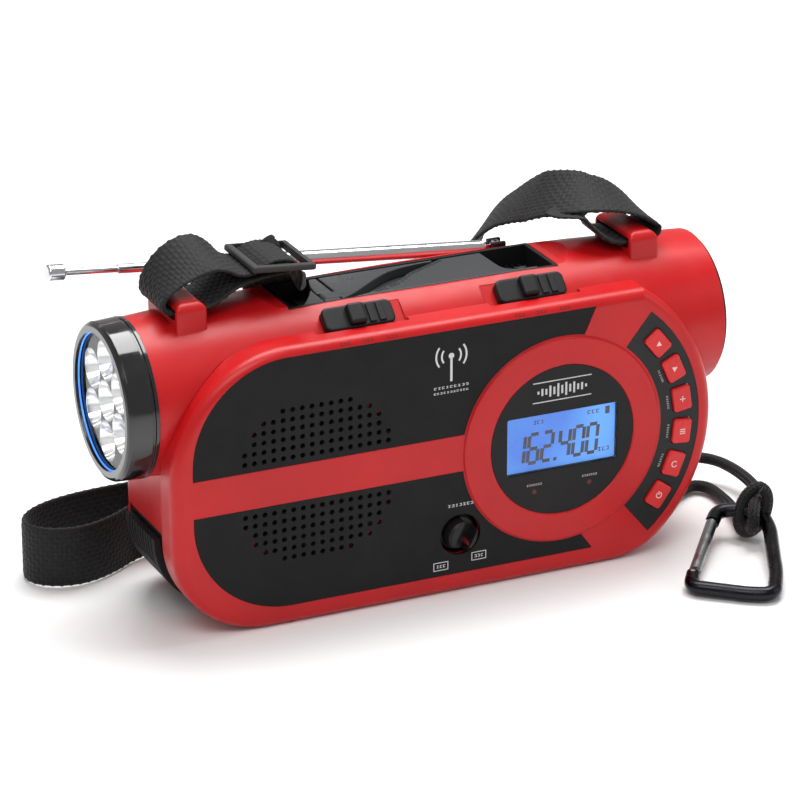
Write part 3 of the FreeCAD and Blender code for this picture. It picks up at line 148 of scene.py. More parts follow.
class Surface:
    """A Principled material whose colour, roughness and bump come from procedural nodes."""

    def __init__(self, name, colour, roughness, edge=0.0, **sockets):
        """edge is the radius that worn edges look rounded to; sockets are the shader's other inputs."""
        self.material = bpy.data.materials.new(name)
        self.material.use_nodes = True
        self.tree = self.material.node_tree
        self.shader = self.tree.nodes["Principled BSDF"]
        self.set(**{"Base Color": colour, "Roughness": roughness}, **sockets)
        self.place = self.add("ShaderNodeTexCoord").outputs["Object"]
        self.normal = None
        if edge:
            bevel = self.add("ShaderNodeBevel", samples=4)
            bevel.inputs["Radius"].default_value = edge
            self.normal = bevel.outputs["Normal"]
            self.link(self.normal, self.shader.inputs["Normal"])

    def set(self, **sockets):
        for name, setting in sockets.items():
            self.shader.inputs[name.replace("_", " ")].default_value = setting

    def add(self, kind, **settings):
        node = self.tree.nodes.new(kind)
        for name, setting in settings.items():
            setattr(node, name, setting)
        return node

    def link(self, out, into):
        self.tree.links.new(out, into)

    def stretched(self, scales):
        mapping = self.add("ShaderNodeMapping")
        mapping.inputs["Scale"].default_value = scales
        self.link(self.place, mapping.inputs["Vector"])
        return mapping.outputs["Vector"]

    def noise(self, scale, detail=2.0, place=None):
        """Noise with about scale cells to the metre."""
        node = self.add("ShaderNodeTexNoise")
        node.inputs["Scale"].default_value = scale
        node.inputs["Detail"].default_value = detail
        self.link(place or self.place, node.inputs["Vector"])
        return node.outputs["Fac"]

    def tint(self, factor, first, second, low=NOISE_LOW, high=NOISE_HIGH):
        """Base colour runs from first to second as the factor goes from low to high."""
        node = self.add("ShaderNodeValToRGB")
        start, end = node.color_ramp.elements
        start.position, start.color = low, first
        end.position, end.color = high, second
        self.link(factor, node.inputs["Fac"])
        self.link(node.outputs["Color"], self.shader.inputs["Base Color"])
        return node.outputs["Color"]

    def rough(self, factor, low, high):
        """Roughness runs from low to high over the noise's usual range."""
        node = self.add("ShaderNodeMapRange")
        node.inputs["From Min"].default_value = NOISE_LOW
        node.inputs["From Max"].default_value = NOISE_HIGH
        node.inputs["To Min"].default_value = low
        node.inputs["To Max"].default_value = high
        self.link(factor, node.inputs["Value"])
        self.link(node.outputs["Result"], self.shader.inputs["Roughness"])

    def bump(self, height, depth):
        node = self.add("ShaderNodeBump")
        node.inputs["Strength"].default_value = 1.0
        node.inputs["Distance"].default_value = depth
        self.link(height, node.inputs["Height"])
        if self.normal:
            self.link(self.normal, node.inputs["Normal"])
        self.normal = node.outputs["Normal"]
        self.link(self.normal, self.shader.inputs["Normal"])


def scaled(colour, factor):
    return tuple(c * factor for c in colour[:3]) + (1.0,)


# How fine each pattern is, in cells to the metre.
FLOW_MARKS = 45
SHEEN_PATCHES = 120
SMUDGES = 160
DRAWN_LINES = 900


def moulded(name, colour, roughness, grain=2500, depth=0.00003, edge=0.0004, **sockets):
    """Injection-moulded plastic: spark-eroded grain, faint flow marks and uneven sheen."""
    surface = Surface(name, colour, roughness, edge, **sockets)
    surface.tint(surface.noise(FLOW_MARKS, 3), scaled(colour, 0.92), scaled(colour, 1.06))
    surface.rough(surface.noise(SHEEN_PATCHES, 4), roughness - 0.05, roughness + 0.06)
    surface.bump(surface.noise(grain, 1), depth)
    return surface


def metal(name, colour, roughness, brush=(1, 1, 1), depth=0.000008, edge=0.0002, **sockets):
    """Metal with fine drawing lines along its length and faint smudges."""
    surface = Surface(name, colour, roughness, edge, Metallic=1.0, **sockets)
    lines = surface.noise(DRAWN_LINES, 3, surface.stretched(brush))
    surface.rough(surface.noise(SMUDGES, 4), roughness * 0.7, roughness * 1.5)
    surface.tint(lines, scaled(colour, 0.9), scaled(colour, 1.05))
    surface.bump(lines, depth)
    return surface


RED = srgb(186, 18, 22)


def make_materials():
    made = {
        "casing_red": moulded("casing_red", RED, 0.36, grain=2200, depth=0.00002, edge=0.0006,
                              Specular_IOR_Level=0.3, Coat_Weight=0.08, Coat_Roughness=0.25),
        "key_red": moulded("key_red", srgb(214, 38, 40), 0.3, grain=1500, depth=0.00001,
                           Subsurface_Weight=0.1, Specular_IOR_Level=0.35),
        "black_plastic": moulded("black_plastic", srgb(22, 22, 23), 0.42, Specular_IOR_Level=0.3),
        "grille_plastic": moulded("grille_plastic", srgb(27, 27, 28), 0.6, grain=1400, depth=0.00009,
                                  Specular_IOR_Level=0.15),
        "gloss_black": moulded("gloss_black", srgb(16, 16, 18), 0.12, grain=600, depth=0.000004,
                               Coat_Weight=0.6, Coat_Roughness=0.04),
        "disc_black": moulded("disc_black", srgb(24, 22, 23), 0.38, grain=1200, depth=0.00002,
                              Specular_IOR_Level=0.2),
        "crank_grey": moulded("crank_grey", srgb(52, 53, 55), 0.3, grain=1800, depth=0.000015,
                              Specular_IOR_Level=0.4),
        "white_plastic": moulded("white_plastic", srgb(225, 225, 218), 0.4),
        "silicone": moulded("silicone", srgb(38, 38, 39), 0.7),
        "soft_rubber": moulded("soft_rubber", srgb(34, 34, 36), 0.62, grain=1600, depth=0.00005,
                               Specular_IOR_Level=0.2),
        "tin_plate": metal("tin_plate", (0.62, 0.62, 0.6, 1), 0.35),
        "steel": metal("steel", (0.52, 0.52, 0.53, 1), 0.3),
        "mast_steel": metal("mast_steel", (0.75, 0.75, 0.76, 1), 0.13, brush=(0.02, 1, 1)),
        "anodised_black": metal("anodised_black", (0.025, 0.025, 0.027, 1), 0.24, edge=0.0003),
        "gate_aluminium": metal("gate_aluminium", (0.33, 0.34, 0.35, 1), 0.3),
        "cell_sleeve": moulded("cell_sleeve", srgb(40, 96, 160), 0.25),
        "circuit_board": moulded("circuit_board", srgb(22, 82, 48), 0.35, grain=900, depth=0.00004),
    }
    mirror = Surface("chrome_plate", (0.86, 0.87, 0.89, 1), 0.06, 0.0003, Metallic=1.0)
    mirror.bump(mirror.noise(260, 2), 0.00008)
    mirror.rough(mirror.noise(500, 3), 0.04, 0.12)
    made["chrome_plate"] = mirror

    lens = Surface("clear_window", (1, 1, 1, 1), 0.03, IOR=1.4, Transmission_Weight=1.0)
    lens.rough(lens.noise(300, 3), 0.01, 0.04)
    made["clear_window"] = lens

    light = Surface("led_resin", (1, 1, 1, 1), 0.2, Emission_Color=(0.86, 0.93, 1.0, 1),
                    Emission_Strength=26.0)
    light.bump(light.noise(700), 0.00005)
    made["led_resin"] = light

    glow = Surface("lcd_glow", srgb(40, 90, 190), 0.35, Emission_Strength=1.0)
    ramp = glow.tint(glow.noise(28, 1), srgb(30, 96, 186), srgb(66, 138, 216), 0.35, 0.65)
    glow.link(ramp, glow.shader.inputs["Emission Color"])
    made["lcd_glass"] = glow
    return made


SURFACES = make_materials()

NODE_SURFACES = {
    "casing_red": ["front_shell", "rear_shell", "battery_door"],
    "key_red": [f"key_{i}" for i in range(1, 7)],
    "black_plastic": ["siren_cap", "selector_knob", "selector_switch", "lamp_slider", "siren_slider",
                      "siren_horn", "crank_tray", "port_panel", "audio_jack", "mast_turret", "key_panel"],
    "grille_plastic": ["grille_upper", "grille_lower"],
    "gloss_black": ["lamp_bezel"],
    "disc_black": ["display_panel"],
    "crank_grey": ["crank_arm", "crank_grip", "crank_stop"],
    "white_plastic": ["drive_gear", "idler_gear", "lcd_backlight"],
    "silicone": ["key_mat", "speaker_cone"],
    "soft_rubber": ["feet", "port_cover"],
    "tin_plate": ["lamp_switch", "siren_switch", "generator", "speaker_frame", "usb_socket"],
    "steel": ["crank_pin", "generator_rotor", "case_screws", "gate_rivet"],
    "mast_steel": ["mast_root", "mast_middle", "mast_upper", "mast_tip"],
    "anodised_black": ["carabiner_frame"],
    "gate_aluminium": ["carabiner_gate"],
    "cell_sleeve": ["battery_cells"],
    "circuit_board": ["main_board", "led_board"],
    "chrome_plate": ["lamp_reflector"],
    "clear_window": ["lamp_lens", "lcd_window"],
    "led_resin": ["led_cluster"],
    "lcd_glass": ["lcd_panel"],
}


def dress_nodes():
    """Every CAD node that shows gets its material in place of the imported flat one."""
    for surface, nodes in NODE_SURFACES.items():
        for node in nodes:
            piece = NODES[node]
            piece.data.materials.clear()
            piece.data.materials.append(SURFACES[surface].material)


# ---------------------------------------------------------------- mesh helpers

def mesh_piece(name, points, faces, surface, body, smooth=True):
    mesh = bpy.data.meshes.new(name)
    mesh.from_pydata([tuple(p) for p in points], [], faces)
    mesh.update()
    piece = bpy.data.objects.new(name, mesh)
    bpy.context.scene.collection.objects.link(piece)
    mesh.materials.append(surface.material)
    for face in mesh.polygons:
        face.use_smooth = smooth
    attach(piece, body)
    return piece


def read_spline(points):
    """Points along the quadratic NURBS spline that has these control points."""
    curve = bpy.data.curves.new("route", "CURVE")
    curve.dimensions = "3D"
    spline = curve.splines.new("NURBS")
    spline.points.add(len(points) - 1)
    for knot, point in zip(spline.points, points):
        knot.co = (*point, 1)
    spline.order_u = 3
    spline.use_endpoint_u = True
    spline.resolution_u = 24
    holder = bpy.data.objects.new("route", curve)
    bpy.context.scene.collection.objects.link(holder)
    bpy.context.view_layer.update()
    mesh = bpy.data.meshes.new_from_object(holder)
    found = [v.co.copy() for v in mesh.vertices]
    bpy.data.objects.remove(holder)
    bpy.data.curves.remove(curve)
    bpy.data.meshes.remove(mesh)
    return found


def lengths(points):
    total = [0.0]
    for a, b in zip(points, points[1:]):
        total.append(total[-1] + (b - a).length)
    return total


def even(points, count, *others):
    """count points evenly spaced along a line, with the other lists read at the same places."""
    total = lengths(points)
    rows = []
    i = 0
    for n in range(count):
        at = total[-1] * n / (count - 1)
        while i < len(points) - 2 and total[i + 1] < at:
            i += 1
        share = (at - total[i]) / max(total[i + 1] - total[i], 1e-9)
        rows.append([line[i].lerp(line[i + 1], share) for line in (points, *others)])
    return [list(column) for column in zip(*rows)]


def heading(line, i):
    """Direction of a line at its point i."""
    return (line[min(i + 1, len(line) - 1)] - line[max(i - 1, 0)]).normalized()


def carried_frames(line):
    """Two directions square to the line at each of its points, turned as little as possible between them."""
    frames = []
    side = Vector((0, 0, 1))
    for i in range(len(line)):
        ahead = heading(line, i)
        side = (side - ahead * side.dot(ahead)).normalized()
        frames.append((side, ahead.cross(side)))
    return frames


TUBE_SIDES = 6


def tube(points, faces, line, frames, half):
    """Adds a closed tube round a line to the lists; half is half its size in each of a frame's directions."""
    first = len(points)
    for place, (side, up) in zip(line, frames):
        for k in range(TUBE_SIDES):
            turn = 2 * math.pi * k / TUBE_SIDES
            points.append(place + side * half[0] * math.cos(turn) + up * half[1] * math.sin(turn))
    rings = len(line)
    for i in range(rings - 1):
        for k in range(TUBE_SIDES):
            a, b = first + i * TUBE_SIDES + k, first + i * TUBE_SIDES + (k + 1) % TUBE_SIDES
            faces.append((a, b, b + TUBE_SIDES, a + TUBE_SIDES))
    faces.append(tuple(first + k for k in reversed(range(TUBE_SIDES))))
    faces.append(tuple(first + (rings - 1) * TUBE_SIDES + k for k in range(TUBE_SIDES)))


# ---------------------------------------------------------------- webbing strap

# The band's middle in millimetres, and the direction across it, from the end sewn at the slider to the end
# at the right bridge.
STRAP = [
    ((-47, 1.2, 123.4), (0, 1, 0)), ((-52, 1.2, 123.2), (0, 1, 0)), ((-58, 1.1, 122.7), (0, 1, 0)),
    ((-66, 0.8, 121.2), (0, 1, 0)), ((-71.5, 0.4, 118.6), (0, 1, 0)), ((-77.5, 0, 115.2), (0, 1, 0)),
    ((-92, 0, 114.3), (0, 1, 0)), ((-95, 0.3, 116.4), (0, 1, 0)), ((-94.6, 0.8, 120.6), (-0.04, 1, 0.05)),
    ((-90, 1.2, 125.6), (-0.1, 1, 0.2)), ((-83.5, 1.5, 129.6), (-0.08, 1, 0.35)),
    ((-76, 1.5, 131.4), (-0.05, 1, 0.35)),
    ((-70.4, 1.4, 128.9), (0, 1, 0.2)), ((-66.5, 1.2, 125.4), (0, 1, 0.06)), ((-62, 1.2, 124.4), (0, 1, 0)),
    ((-58.6, 1.2, 125.4), (0, 1, 0)), ((-55.4, 1.2, 127.6), (0, 1, 0)), ((-52, 1.2, 128.3), (0, 1, 0)),
    ((-47.6, 1.2, 127.9), (0, 1, 0)), ((-44.6, 1.2, 126.2), (0, 1, 0)), ((-43.2, 1.3, 123.6), (0, 1, 0)),
    ((-43.6, 4.6, 120.6), (-0.4, 0.92, 0)), ((-44.2, 11.5, 117.2), (-0.75, 0.65, 0)),
    ((-41.2, 20.6, 111), (-0.95, 0.25, 0)), ((-37.5, 27, 104.6), (-1, 0.1, 0)), ((-36, 36, 94), (-1, 0, 0)),
    ((-36, 41, 74), (-1, 0, -0.1)), ((-41, 42, 48), (-0.85, 0, -0.5)), ((-53, 42, 26), (-0.5, 0, -0.86)),
    ((-70, 42, 13.5), (-0.1, 0, -1)), ((-88, 40, 12.2), (0, 0, -1)), ((-102, 30, 12.2), (0, 0, -1)),
    ((-116, 25.5, 12.2), (0, 0, -1)), ((-129, 30, 12.2), (0, 0, -1)), ((-133.5, 40, 12.2), (0, 0, -1)),
    ((-126, 50, 12.2), (0, 0, -1)), ((-110, 56, 12.2), (0, 0, -1)), ((-84, 57.5, 12.2), (0, 0, -1)),
    ((-48, 56, 12.2), (0, 0, -1)), ((-10, 58, 12.6), (-0.15, 0, -1)), ((16, 58, 22), (-0.6, 0, -0.8)),
    ((34, 56, 45), (-0.85, 0.1, -0.5)), ((43, 54, 72), (-0.9, -0.4, -0.2)),
    ((50, 50, 95), (-0.75, -0.65, 0.1)),
    ((56.4, 43, 111.5), (-0.48, -0.87, 0.1)), ((63.4, 29.5, 121.8), (-0.3, -0.95, -0.05)),
    ((67, 15.5, 128), (-0.24, -0.93, -0.25)), ((75.5, 4.5, 130.6), (-0.14, -0.93, -0.34)),
    ((86, 2.6, 129), (-0.05, -0.96, -0.3)), ((95, 1.4, 124), (0, -1, -0.18)),
    ((100, 0.6, 118.6), (0, -1, -0.05)), ((99.2, 0.1, 115.4), (0, -1, 0)), ((95, 0, 114.4), (0, -1, 0)),
    ((84.5, 0, 114.4), (0, -1, 0)), ((79.5, 0, 115.8), (0, -1, 0)), ((76, 0.8, 119.4), (0, -1, -0.15)),
    ((73.6, 3.2, 123.6), (-0.1, -0.95, -0.3)), ((69.5, 9.5, 126), (-0.2, -0.93, -0.3)),
]
STRAP_WIDE, STRAP_THICK = 0.023, 0.0014
WARP_YARNS = 13            # yarns across the width
PICK = 0.0017              # spacing of the cross yarns
PER_YARN = 3               # mesh steps across one yarn
YARN_RISE = 0.00055        # height of a yarn's crown over the gap beside it
WEFT_CROWN = 0.9           # height of a cross yarn's crown, as a share of a warp yarn's
WEAVE_LEVEL = 0.45         # the weave height that lies level with the band's plain surface
SELVEDGE_YARNS = 0.8       # the band thins towards its edges over this many yarns
SELVEDGE_SHARE = 0.45      # its thickness at the very edge, as a share of the whole


def weave_height(across, along):
    """Height of a plain weave, 0 to 1, where both coordinates count yarns."""
    column, row = math.floor(across), math.floor(along)
    over = math.cos(math.pi * (along - 0.5 + column))
    warp = (1 - (2 * (across - column) - 1) ** 2) * (0.5 + 0.5 * over)
    weft = (1 - (2 * (along - row) - 1) ** 2) * (0.5 - 0.5 * over) * WEFT_CROWN
    return max(warp, weft)


def webbing_surface(name):
    """Black polyester yarn: dull, with a faint sheen and loose fibres."""
    surface = Surface(name, srgb(18, 18, 19), 0.62, Specular_IOR_Level=0.25,
                      Sheen_Weight=0.12, Sheen_Roughness=0.4)
    fibres = surface.noise(5200, 2)
    surface.tint(surface.noise(1500, 3), srgb(9, 9, 10), srgb(32, 32, 33))
    surface.rough(fibres, 0.5, 0.75)
    surface.bump(fibres, 0.00006)
    return surface


def band_points(line, rims, columns):
    """The woven band's upper and lower points, row by row; rims follows its edge and turns it."""
    top, bottom = [], []
    for i, (place, rim) in enumerate(zip(line, rims)):
        ahead = heading(line, i)
        side = rim - place
        side = (side - ahead * side.dot(ahead)).normalized()
        up = ahead.cross(side)
        for j in range(columns + 1):
            spot = place + side * STRAP_WIDE * (j / columns - 0.5)
            inward = min(j, columns - j) / PER_YARN
            full = min(inward / SELVEDGE_YARNS, 1)
            half = STRAP_THICK / 2 * (SELVEDGE_SHARE + (1 - SELVEDGE_SHARE) * full)
            rise = YARN_RISE * (weave_height(j / PER_YARN, i / PER_YARN) - WEAVE_LEVEL)
            # One yarn further on, the weave stands as it does on the underside here.
            sink = YARN_RISE * (weave_height(j / PER_YARN, i / PER_YARN + 1) - WEAVE_LEVEL)
            top.append(spot + up * (half + rise))
            bottom.append(spot - up * (half + sink))
    return top, bottom


def band_faces(rows, columns):
    """Faces of a closed band whose upper points come first: both sides, both edges and both ends."""
    wide, under = columns + 1, rows * (columns + 1)
    faces = []
    for i in range(rows - 1):
        for j in range(columns):
            a, b = i * wide + j, (i + 1) * wide + j
            faces.append((a, a + 1, b + 1, b))
            faces.append((under + a, under + b, under + b + 1, under + a + 1))
        for j in (0, columns):
            a, b = i * wide + j, (i + 1) * wide + j
            faces.append((a, b, under + b, under + a) if j == 0 else (a, under + a, under + b, b))
    for i in (0, rows - 1):
        for j in range(columns):
            a = i * wide + j
            corners = (a, under + a, under + a + 1, a + 1)
            faces.append(corners if i == 0 else corners[::-1])
    return faces


def make_strap():
    middles = [Vector(point) * MM for point, _ in STRAP]
    edges = [m + Vector(across).normalized() * STRAP_WIDE / 2 for m, (_, across) in zip(middles, STRAP)]
    line, rims = read_spline(middles), read_spline(edges)
    span = lengths(line)[-1]
    rows, columns = int(span / PICK * PER_YARN), WARP_YARNS * PER_YARN
    line, rims = even(line, rows, rims)
    top, bottom = band_points(line, rims, columns)
    strap = mesh_piece("strap_webbing", top + bottom, band_faces(rows, columns),
                       webbing_surface("webbing"), "casing")
    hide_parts("strap")


# ---------------------------------------------------------------- braided cord with its hitch

# The cord's middle in millimetres, from the eye round the hook's crown and back to the eye.
LANYARD = [
    (96, 5.3, 12.5), (96.5, -2, 12), (101, -6, 9), (109, -3, 4.5), (118, 4, 3), (127, 9, 3),
    (132, 5, 3), (132.5, -3, 3), (131.8, -10, 3.2), (130, -17, 4), (128.4, -25, 5), (126.2, -33, 6),
    (124.2, -40.5, 6), (122.3, -47.6, 7.5), (122.3, -47.6, 15), (127.4, -39.7, 15.6), (132.6, -33.4, 11.4),
    (137.2, -27, 8.2), (141.4, -18.5, 8), (143.6, -8, 8.2), (143.2, 4, 8.8), (140, 13.6, 9.6),
    (132, 18.6, 10.4), (120, 19.6, 11), (109, 19, 11.6), (101.5, 18, 12), (96.3, 14.5, 12.4), (96, 5.7, 12.5),
]
CORD_ROUND = 0.0022        # half the cord's diameter
STRANDS = 8                # strands wound each way
BRAID_PITCH = 0.011        # length in which a strand goes once round
STRAND_STEP = 0.0007       # distance between the mesh's rings
STRAND_HALF = (0.00030, 0.00062)              # half a strand's height and width
CORE_SHARE = 0.8           # the core's radius, as a share of the cord's
STRAND_SHARE = 0.84        # distance of the strands' middle from the cord's, as a share of its radius
STRAND_LIFT = 0.00016      # a strand rises and dips this much as it crosses the others

# The hitch is a short winding of the cord itself, flattened round the two runs of cord that it holds.
HITCH_MIDDLE = Vector((0.1272, -0.0385, 0.0116))
HITCH_ACROSS = Vector((0.47, 0.11, 0.876)).normalized()
HITCH_ALONG = Vector((0.52, 0.82, -0.2))
HITCH_TURNS, HITCH_PITCH = 2.0, 0.0048
HITCH_TALL, HITCH_WIDE = 0.0088, 0.0046
HITCH_STEPS = 260


def make_cord():
    line = read_spline([Vector(p) * MM for p in LANYARD])
    span = lengths(line)[-1]
    (line,) = even(line, int(span / STRAND_STEP))
    yarn = webbing_surface("braided_cord")
    points, faces = braid(line)
    cord = mesh_piece("lanyard_braid", points, faces, yarn, "casing")
    hitch = make_hitch(yarn)
    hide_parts("lanyard_cord")


def make_hitch(yarn):
    """The cord's wrapping turns that pull its two runs together above the hook's crown."""
    along = (HITCH_ALONG - HITCH_ACROSS * HITCH_ALONG.dot(HITCH_ACROSS)).normalized()
    side = along.cross(HITCH_ACROSS)
    route = []
    for i in range(HITCH_STEPS):
        turn = 2 * math.pi * HITCH_TURNS * i / (HITCH_STEPS - 1)
        route.append(HITCH_MIDDLE + along * (HITCH_PITCH * (turn / (2 * math.pi) - HITCH_TURNS / 2))
                     + HITCH_ACROSS * HITCH_TALL * math.cos(turn) + side * HITCH_WIDE * math.sin(turn))
    (line,) = even(route, int(lengths(route)[-1] / STRAND_STEP))
    points, faces = braid(line)
    return mesh_piece("lanyard_hitch", points, faces, yarn, "casing")


def braid(line):
    """Mesh of a round braid along a line: a core, and strands wound both ways that pass over and under."""
    points, faces = [], []
    frames = carried_frames(line)
    core = CORD_ROUND * CORE_SHARE
    tube(points, faces, line, frames, (core, core))
    for way in (1, -1):
        for strand in range(STRANDS):
            path = []
            for i, (place, (side, up)) in enumerate(zip(line, frames)):
                turn = way * 2 * math.pi * (i * STRAND_STEP / BRAID_PITCH + strand / STRANDS)
                outward = side * math.cos(turn) + up * math.sin(turn)
                lift = STRAND_LIFT * (math.cos(turn * STRANDS) * way)
                path.append(place + outward * (CORD_ROUND * STRAND_SHARE + lift))
            strand_frames = []
            for i, spot in enumerate(path):
                outward = (spot - line[i]).normalized()
                strand_frames.append((outward, heading(path, i).cross(outward).normalized()))
            tube(points, faces, path, strand_frames, STRAND_HALF)
    return points, faces


# ---------------------------------------------------------------- printed marks

INK_LIFT = 0.00006         # the ink lies this far above the plastic
BEFORE_ALL = -0.2          # a y in front of the whole object, where the search for a surface starts
INKS = {                   # each ink's colour on a screen
    "white_ink": (215, 215, 215),
    "dark_ink": (92, 14, 16),
    "pointer_ink": (120, 20, 40),
    "key_ink": (240, 205, 200),
    "panel_ink": (185, 185, 185),
    "emblem_ink": (205, 205, 205),
    "indicator_red": (96, 16, 26),
    "lcd_figure": (12, 24, 70),
}


def ink(name):
    colour = srgb(*INKS[name])
    surface = Surface(name, colour, 0.5)
    surface.tint(surface.noise(3000, 2), scaled(colour, 0.8), colour)
    return surface


def print_marks(name, shapes, node, surface):
    """Flat printed shapes, each a list of (x, z) corners in metres, laid on a node's front surface."""
    mesh = NODES[node].data
    tree = BVHTree.FromPolygons([v.co.copy() for v in mesh.vertices],
                                [tuple(p.vertices) for p in mesh.polygons])
    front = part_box(node)[0].y
    points, faces = [], []
    for corners in shapes:
        hits = [tree.ray_cast(Vector((x, BEFORE_ALL, z)), Vector((0, 1, 0)))[0] for x, z in corners]
        if any(hit is None for hit in hits):
            hits = [Vector((x, front, z)) for x, z in corners]
        faces.append(tuple(range(len(points), len(points) + len(hits))))
        points += [hit - Vector((0, INK_LIFT, 0)) for hit in hits]
    mesh_piece(name, points, faces, surface, BODY_OF[node], smooth=False)


def bar(x, z, wide, tall, turn=0.0):
    cos, sin = math.cos(turn), math.sin(turn)
    corners = ((-wide, -tall), (wide, -tall), (wide, tall), (-wide, tall))
    return [(x + (u * cos - v * sin) / 2, z + (u * sin + v * cos) / 2) for u, v in corners]


def outline(x, z, wide, tall, stroke):
    """The four strokes of a box, whose middles are wide and tall apart."""
    level = [bar(x, z + rise, wide, stroke) for rise in (-tall / 2, tall / 2)]
    return level + [bar(x + along, z, stroke, tall + stroke) for along in (-wide / 2, wide / 2)]


def arc_band(x, z, radius, thick, first, last):
    """A stroke along an arc, from first to last in degrees, as a row of small pieces joined end to end."""
    steps = 10
    shapes = []
    for i in range(steps):
        a, b = (math.radians(first + (last - first) * k / steps) for k in (i, i + 1))
        shapes.append([(x + r * math.cos(t), z + r * math.sin(t))
                       for r, t in ((radius, a), (radius + thick, a), (radius + thick, b), (radius, b))])
    return shapes


def disc(x, z, radius):
    steps = 20
    return [(x + radius * math.cos(2 * math.pi * i / steps), z + radius * math.sin(2 * math.pi * i / steps))
            for i in range(steps)]


def word(x, z, wide, tall, letters, seed, turn=0.0):
    """A row of made-up letters, each a stem and two short bars, that reads as print from a distance."""
    source = random.Random(seed)
    pitch = wide / letters
    cos, sin = math.cos(turn), math.sin(turn)
    shapes = []
    for i in range(letters):
        along = (i + 0.5) * pitch - wide / 2
        at_x, at_z = x + along * cos, z + along * sin
        for side in (-0.5, 0.5):
            rise = side * tall * 0.62
            shapes.append(bar(at_x - rise * sin, at_z + rise * cos,
                              pitch * source.uniform(0.45, 0.75), tall * 0.2, turn))
        lean = source.choice((-0.22, 0, 0.22)) * pitch
        shapes.append(bar(at_x + lean * cos, at_z + lean * sin, pitch * 0.22, tall * 0.8, turn))
    return shapes


def mark_broadcast_sign(surface):
    """A generic sign on the upper grille: a mast with two waves to each side, over two lines of print."""
    x, z = 0.0035, 0.0885
    top = z + 0.0042
    stroke, half_angle = 0.0007, 38
    sign = [bar(x, z - 0.001, 0.0009, 0.009), disc(x, top, 0.0011)]
    for radius in (0.0034, 0.0056):
        for facing in (0, 180):
            sign += arc_band(x, top, radius, stroke, facing - half_angle, facing + half_angle)
    sign += word(x, z - 0.0075, 0.014, 0.0011, letters=9, seed=1)
    sign += word(x, z - 0.0095, 0.014, 0.0009, letters=11, seed=2)
    print_marks("broadcast_sign", sign, "grille_upper", surface)


def mark_selector(surface):
    """A word above the knob, two boxed words below it, and the knob's own pointer."""
    labels = word(KNOB.x, KNOB.z + 0.0118, 0.0105, 0.0013, letters=7, seed=3)
    for dx, dz, seed in ((-0.0078, -0.0112, 4), (0.0074, -0.0096, 5)):
        x, z = KNOB.x + dx, KNOB.z + dz
        labels += outline(x, z, 0.0056, 0.0030, 0.0003)
        labels += word(x, z, 0.0038, 0.0014, letters=3, seed=seed)
    print_marks("selector_labels", labels, "grille_lower", surface)
    pointer = [disc(KNOB.x + 0.0022, KNOB.z - 0.0030, 0.0010)]
    print_marks("selector_pointer", pointer, "selector_knob", ink("pointer_ink"))


def mark_sliders():
    """A small word at each stop of the two slide switches, on the casing's lip below them."""
    lip = 0.1035
    labels = []
    for node in ("lamp_slider", "siren_slider"):
        for i, dx in enumerate((-0.0105, -0.002, 0.0075)):
            labels += word(middle(node).x + dx, lip, 0.0045, 0.0011, letters=3, seed=20 + i)
    print_marks("slider_labels", labels, "front_shell", ink("dark_ink"))


def key_signs(x, z):
    """Up, down, plus, menu, turn and power, in the keys' order, drawn round (x, z)."""
    wing, reach, depth = 0.0011, 0.0011, 0.0008
    long, stroke, ring = 0.0022, 0.0004, 0.0009
    return (
        [[(x - wing, z - depth), (x + wing, z - depth), (x, z + reach)]],
        [[(x - wing, z + depth), (x, z - reach), (x + wing, z + depth)]],
        [bar(x, z, long, stroke), bar(x, z, stroke, long)],
        [bar(x, z + rise, long, stroke) for rise in (-depth, 0, depth)],
        arc_band(x, z, ring, stroke, 30, 330),
        arc_band(x, z, ring, stroke, 120, 420) + [bar(x, z + ring, stroke, 0.0014)],
    )


def mark_keys():
    """A generic sign on each key, and small words beside all but the end ones on the key panel."""
    pale, white = ink("key_ink"), ink("panel_ink")
    label_radius = 0.0437
    for i in range(1, 7):
        place = middle(f"key_{i}")
        print_marks(f"key_sign_{i}", key_signs(place.x, place.z)[i - 1], f"key_{i}", pale)
        if i not in (1, 6):
            turn = math.atan2(place.z - DISC.z, place.x - DISC.x) - math.pi / 2
            spot = DISC + (place - DISC).normalized() * label_radius
            labels = word(spot.x, spot.z, 0.0056, 0.0009, letters=6, seed=30 + i, turn=turn)
            print_marks(f"key_label_{i}", labels, "key_panel", white)


def mark_display_panel():
    """The emblem, a plain row of level bars between two lines, and two indicator lamps with labels."""
    x, z = DISC.x - 0.0005, WINDOW_HIGH.z + 0.0087
    lamp_aside = 0.0112
    emblem = []
    for i in range(-6, 7):
        share = 1 if i % 2 else 0.62
        emblem.append(bar(x + i * 0.0016, z, 0.0008, 0.0052 * math.cos(i * 0.2) * share))
    emblem += [bar(x, z + rise, 0.0236, 0.0004) for rise in (-0.0038, 0.0038)]
    lamps = []
    for dx in (-lamp_aside, lamp_aside):
        emblem += word(DISC.x + dx, WINDOW_LOW.z - 0.0048, 0.0062, 0.0009, letters=7, seed=40)
        lamps.append(disc(DISC.x + dx, WINDOW_LOW.z - 0.0076, 0.0009))
    print_marks("panel_emblem", emblem, "display_panel", ink("emblem_ink"))
    print_marks("indicator_lamps", lamps, "display_panel", ink("indicator_red"))


SEGMENTS = {"0": "abcdef", "1": "bc", "2": "abged", "4": "fgbc", "6": "afgedc"}
FIGURES = "162400"
POINT_AFTER = 3            # the decimal point stands after this many figures
POINT_ROOM = 0.0014        # and the others stand this much further right
FIGURE_LEAN = 0.09         # how far a figure leans to the right, per unit of height
STROKE = 0.0014            # breadth of a figure's strokes


def leaning_bar(x, z, wide, tall):
    return [(corner_x + (corner_z - WINDOW_LOW.z) * FIGURE_LEAN, corner_z)
            for corner_x, corner_z in bar(x, z, wide, tall)]


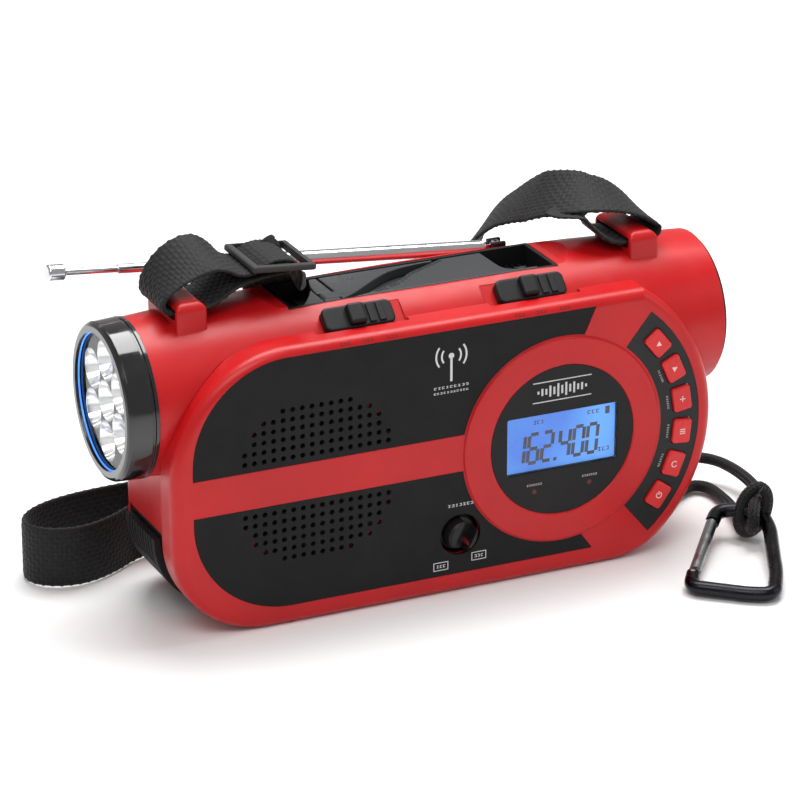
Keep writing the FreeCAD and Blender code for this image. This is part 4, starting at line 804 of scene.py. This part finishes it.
def seven_segment_figure(figure, x, base, wide, half):
    """One figure round x, standing on base and two halves high."""
    level = {"a": base + 2 * half, "g": base + half, "d": base}
    upright = {"b": (wide / 2, 1.5), "c": (wide / 2, 0.5), "f": (-wide / 2, 1.5), "e": (-wide / 2, 0.5)}
    strokes = []
    for part in SEGMENTS[figure]:
        if part in level:
            strokes.append(leaning_bar(x, level[part], wide * 0.78, STROKE))
        else:
            dx, halves = upright[part]
            strokes.append(leaning_bar(x + dx, base + half * halves, STROKE, half * 0.82))
    return strokes


def mark_display():
    """The lit panel's figures, with small legends round them, placed by shares of the window's size."""
    low, high = WINDOW_LOW, WINDOW_HIGH
    wide, tall = high.x - low.x, high.z - low.z
    left, base = low.x + wide * 0.115, low.z + tall * 0.14
    pitch = wide * 0.126
    shapes = []
    for i, figure in enumerate(FIGURES):
        x = left + i * pitch + (POINT_ROOM if i >= POINT_AFTER else 0)
        shapes += seven_segment_figure(figure, x, base, wide * 0.088, tall * 0.25)
    shapes.append(leaning_bar(left + (POINT_AFTER - 0.36) * pitch, base, STROKE, STROKE))
    shapes += word(high.x - wide * 0.1, base + 0.0006, wide * 0.11, 0.0019, letters=3, seed=6)
    shapes += word(low.x + wide * 0.3, high.z - tall * 0.16, wide * 0.1, 0.0018, letters=3, seed=7)
    shapes += word(high.x - wide * 0.2, high.z - tall * 0.14, wide * 0.12, 0.0018, letters=3, seed=8)
    shapes.append(bar(high.x - wide * 0.07, high.z - tall * 0.15, 0.0018, 0.003))
    print_marks("lcd_figures", shapes, "lcd_panel", ink("lcd_figure"))


def make_marks():
    white = ink("white_ink")
    mark_broadcast_sign(white)
    mark_selector(white)
    mark_sliders()
    mark_keys()
    mark_display_panel()
    mark_display()


# ---------------------------------------------------------------- lamp

def make_lamp_glow():
    """Blue light caught by the bezel's inner lip, in front of the lens."""
    blue = Surface("lamp_glow", srgb(60, 120, 220), 0.3, Emission_Color=srgb(70, 135, 235),
                   Emission_Strength=1.1)
    blue.tint(blue.noise(220, 2), srgb(40, 90, 190), srgb(90, 150, 240))
    inset, thick, steps = 0.0006, 0.00035, 96
    radius = size("lamp_lens").z / 2 - inset
    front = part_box("lamp_lens")[0].x - inset
    ring = [Vector((front, LAMP.y + radius * math.cos(turn), LAMP.z + radius * math.sin(turn)))
            for turn in (2 * math.pi * i / steps for i in range(steps + 1))]
    points, faces = [], []
    tube(points, faces, ring, carried_frames(ring), (thick, thick))
    mesh_piece("lamp_glow_ring", points, faces, blue, "casing")


make_camera()
make_light()
make_floor()
dress_nodes()
make_strap()
make_cord()
make_lamp_glow()
make_marks()
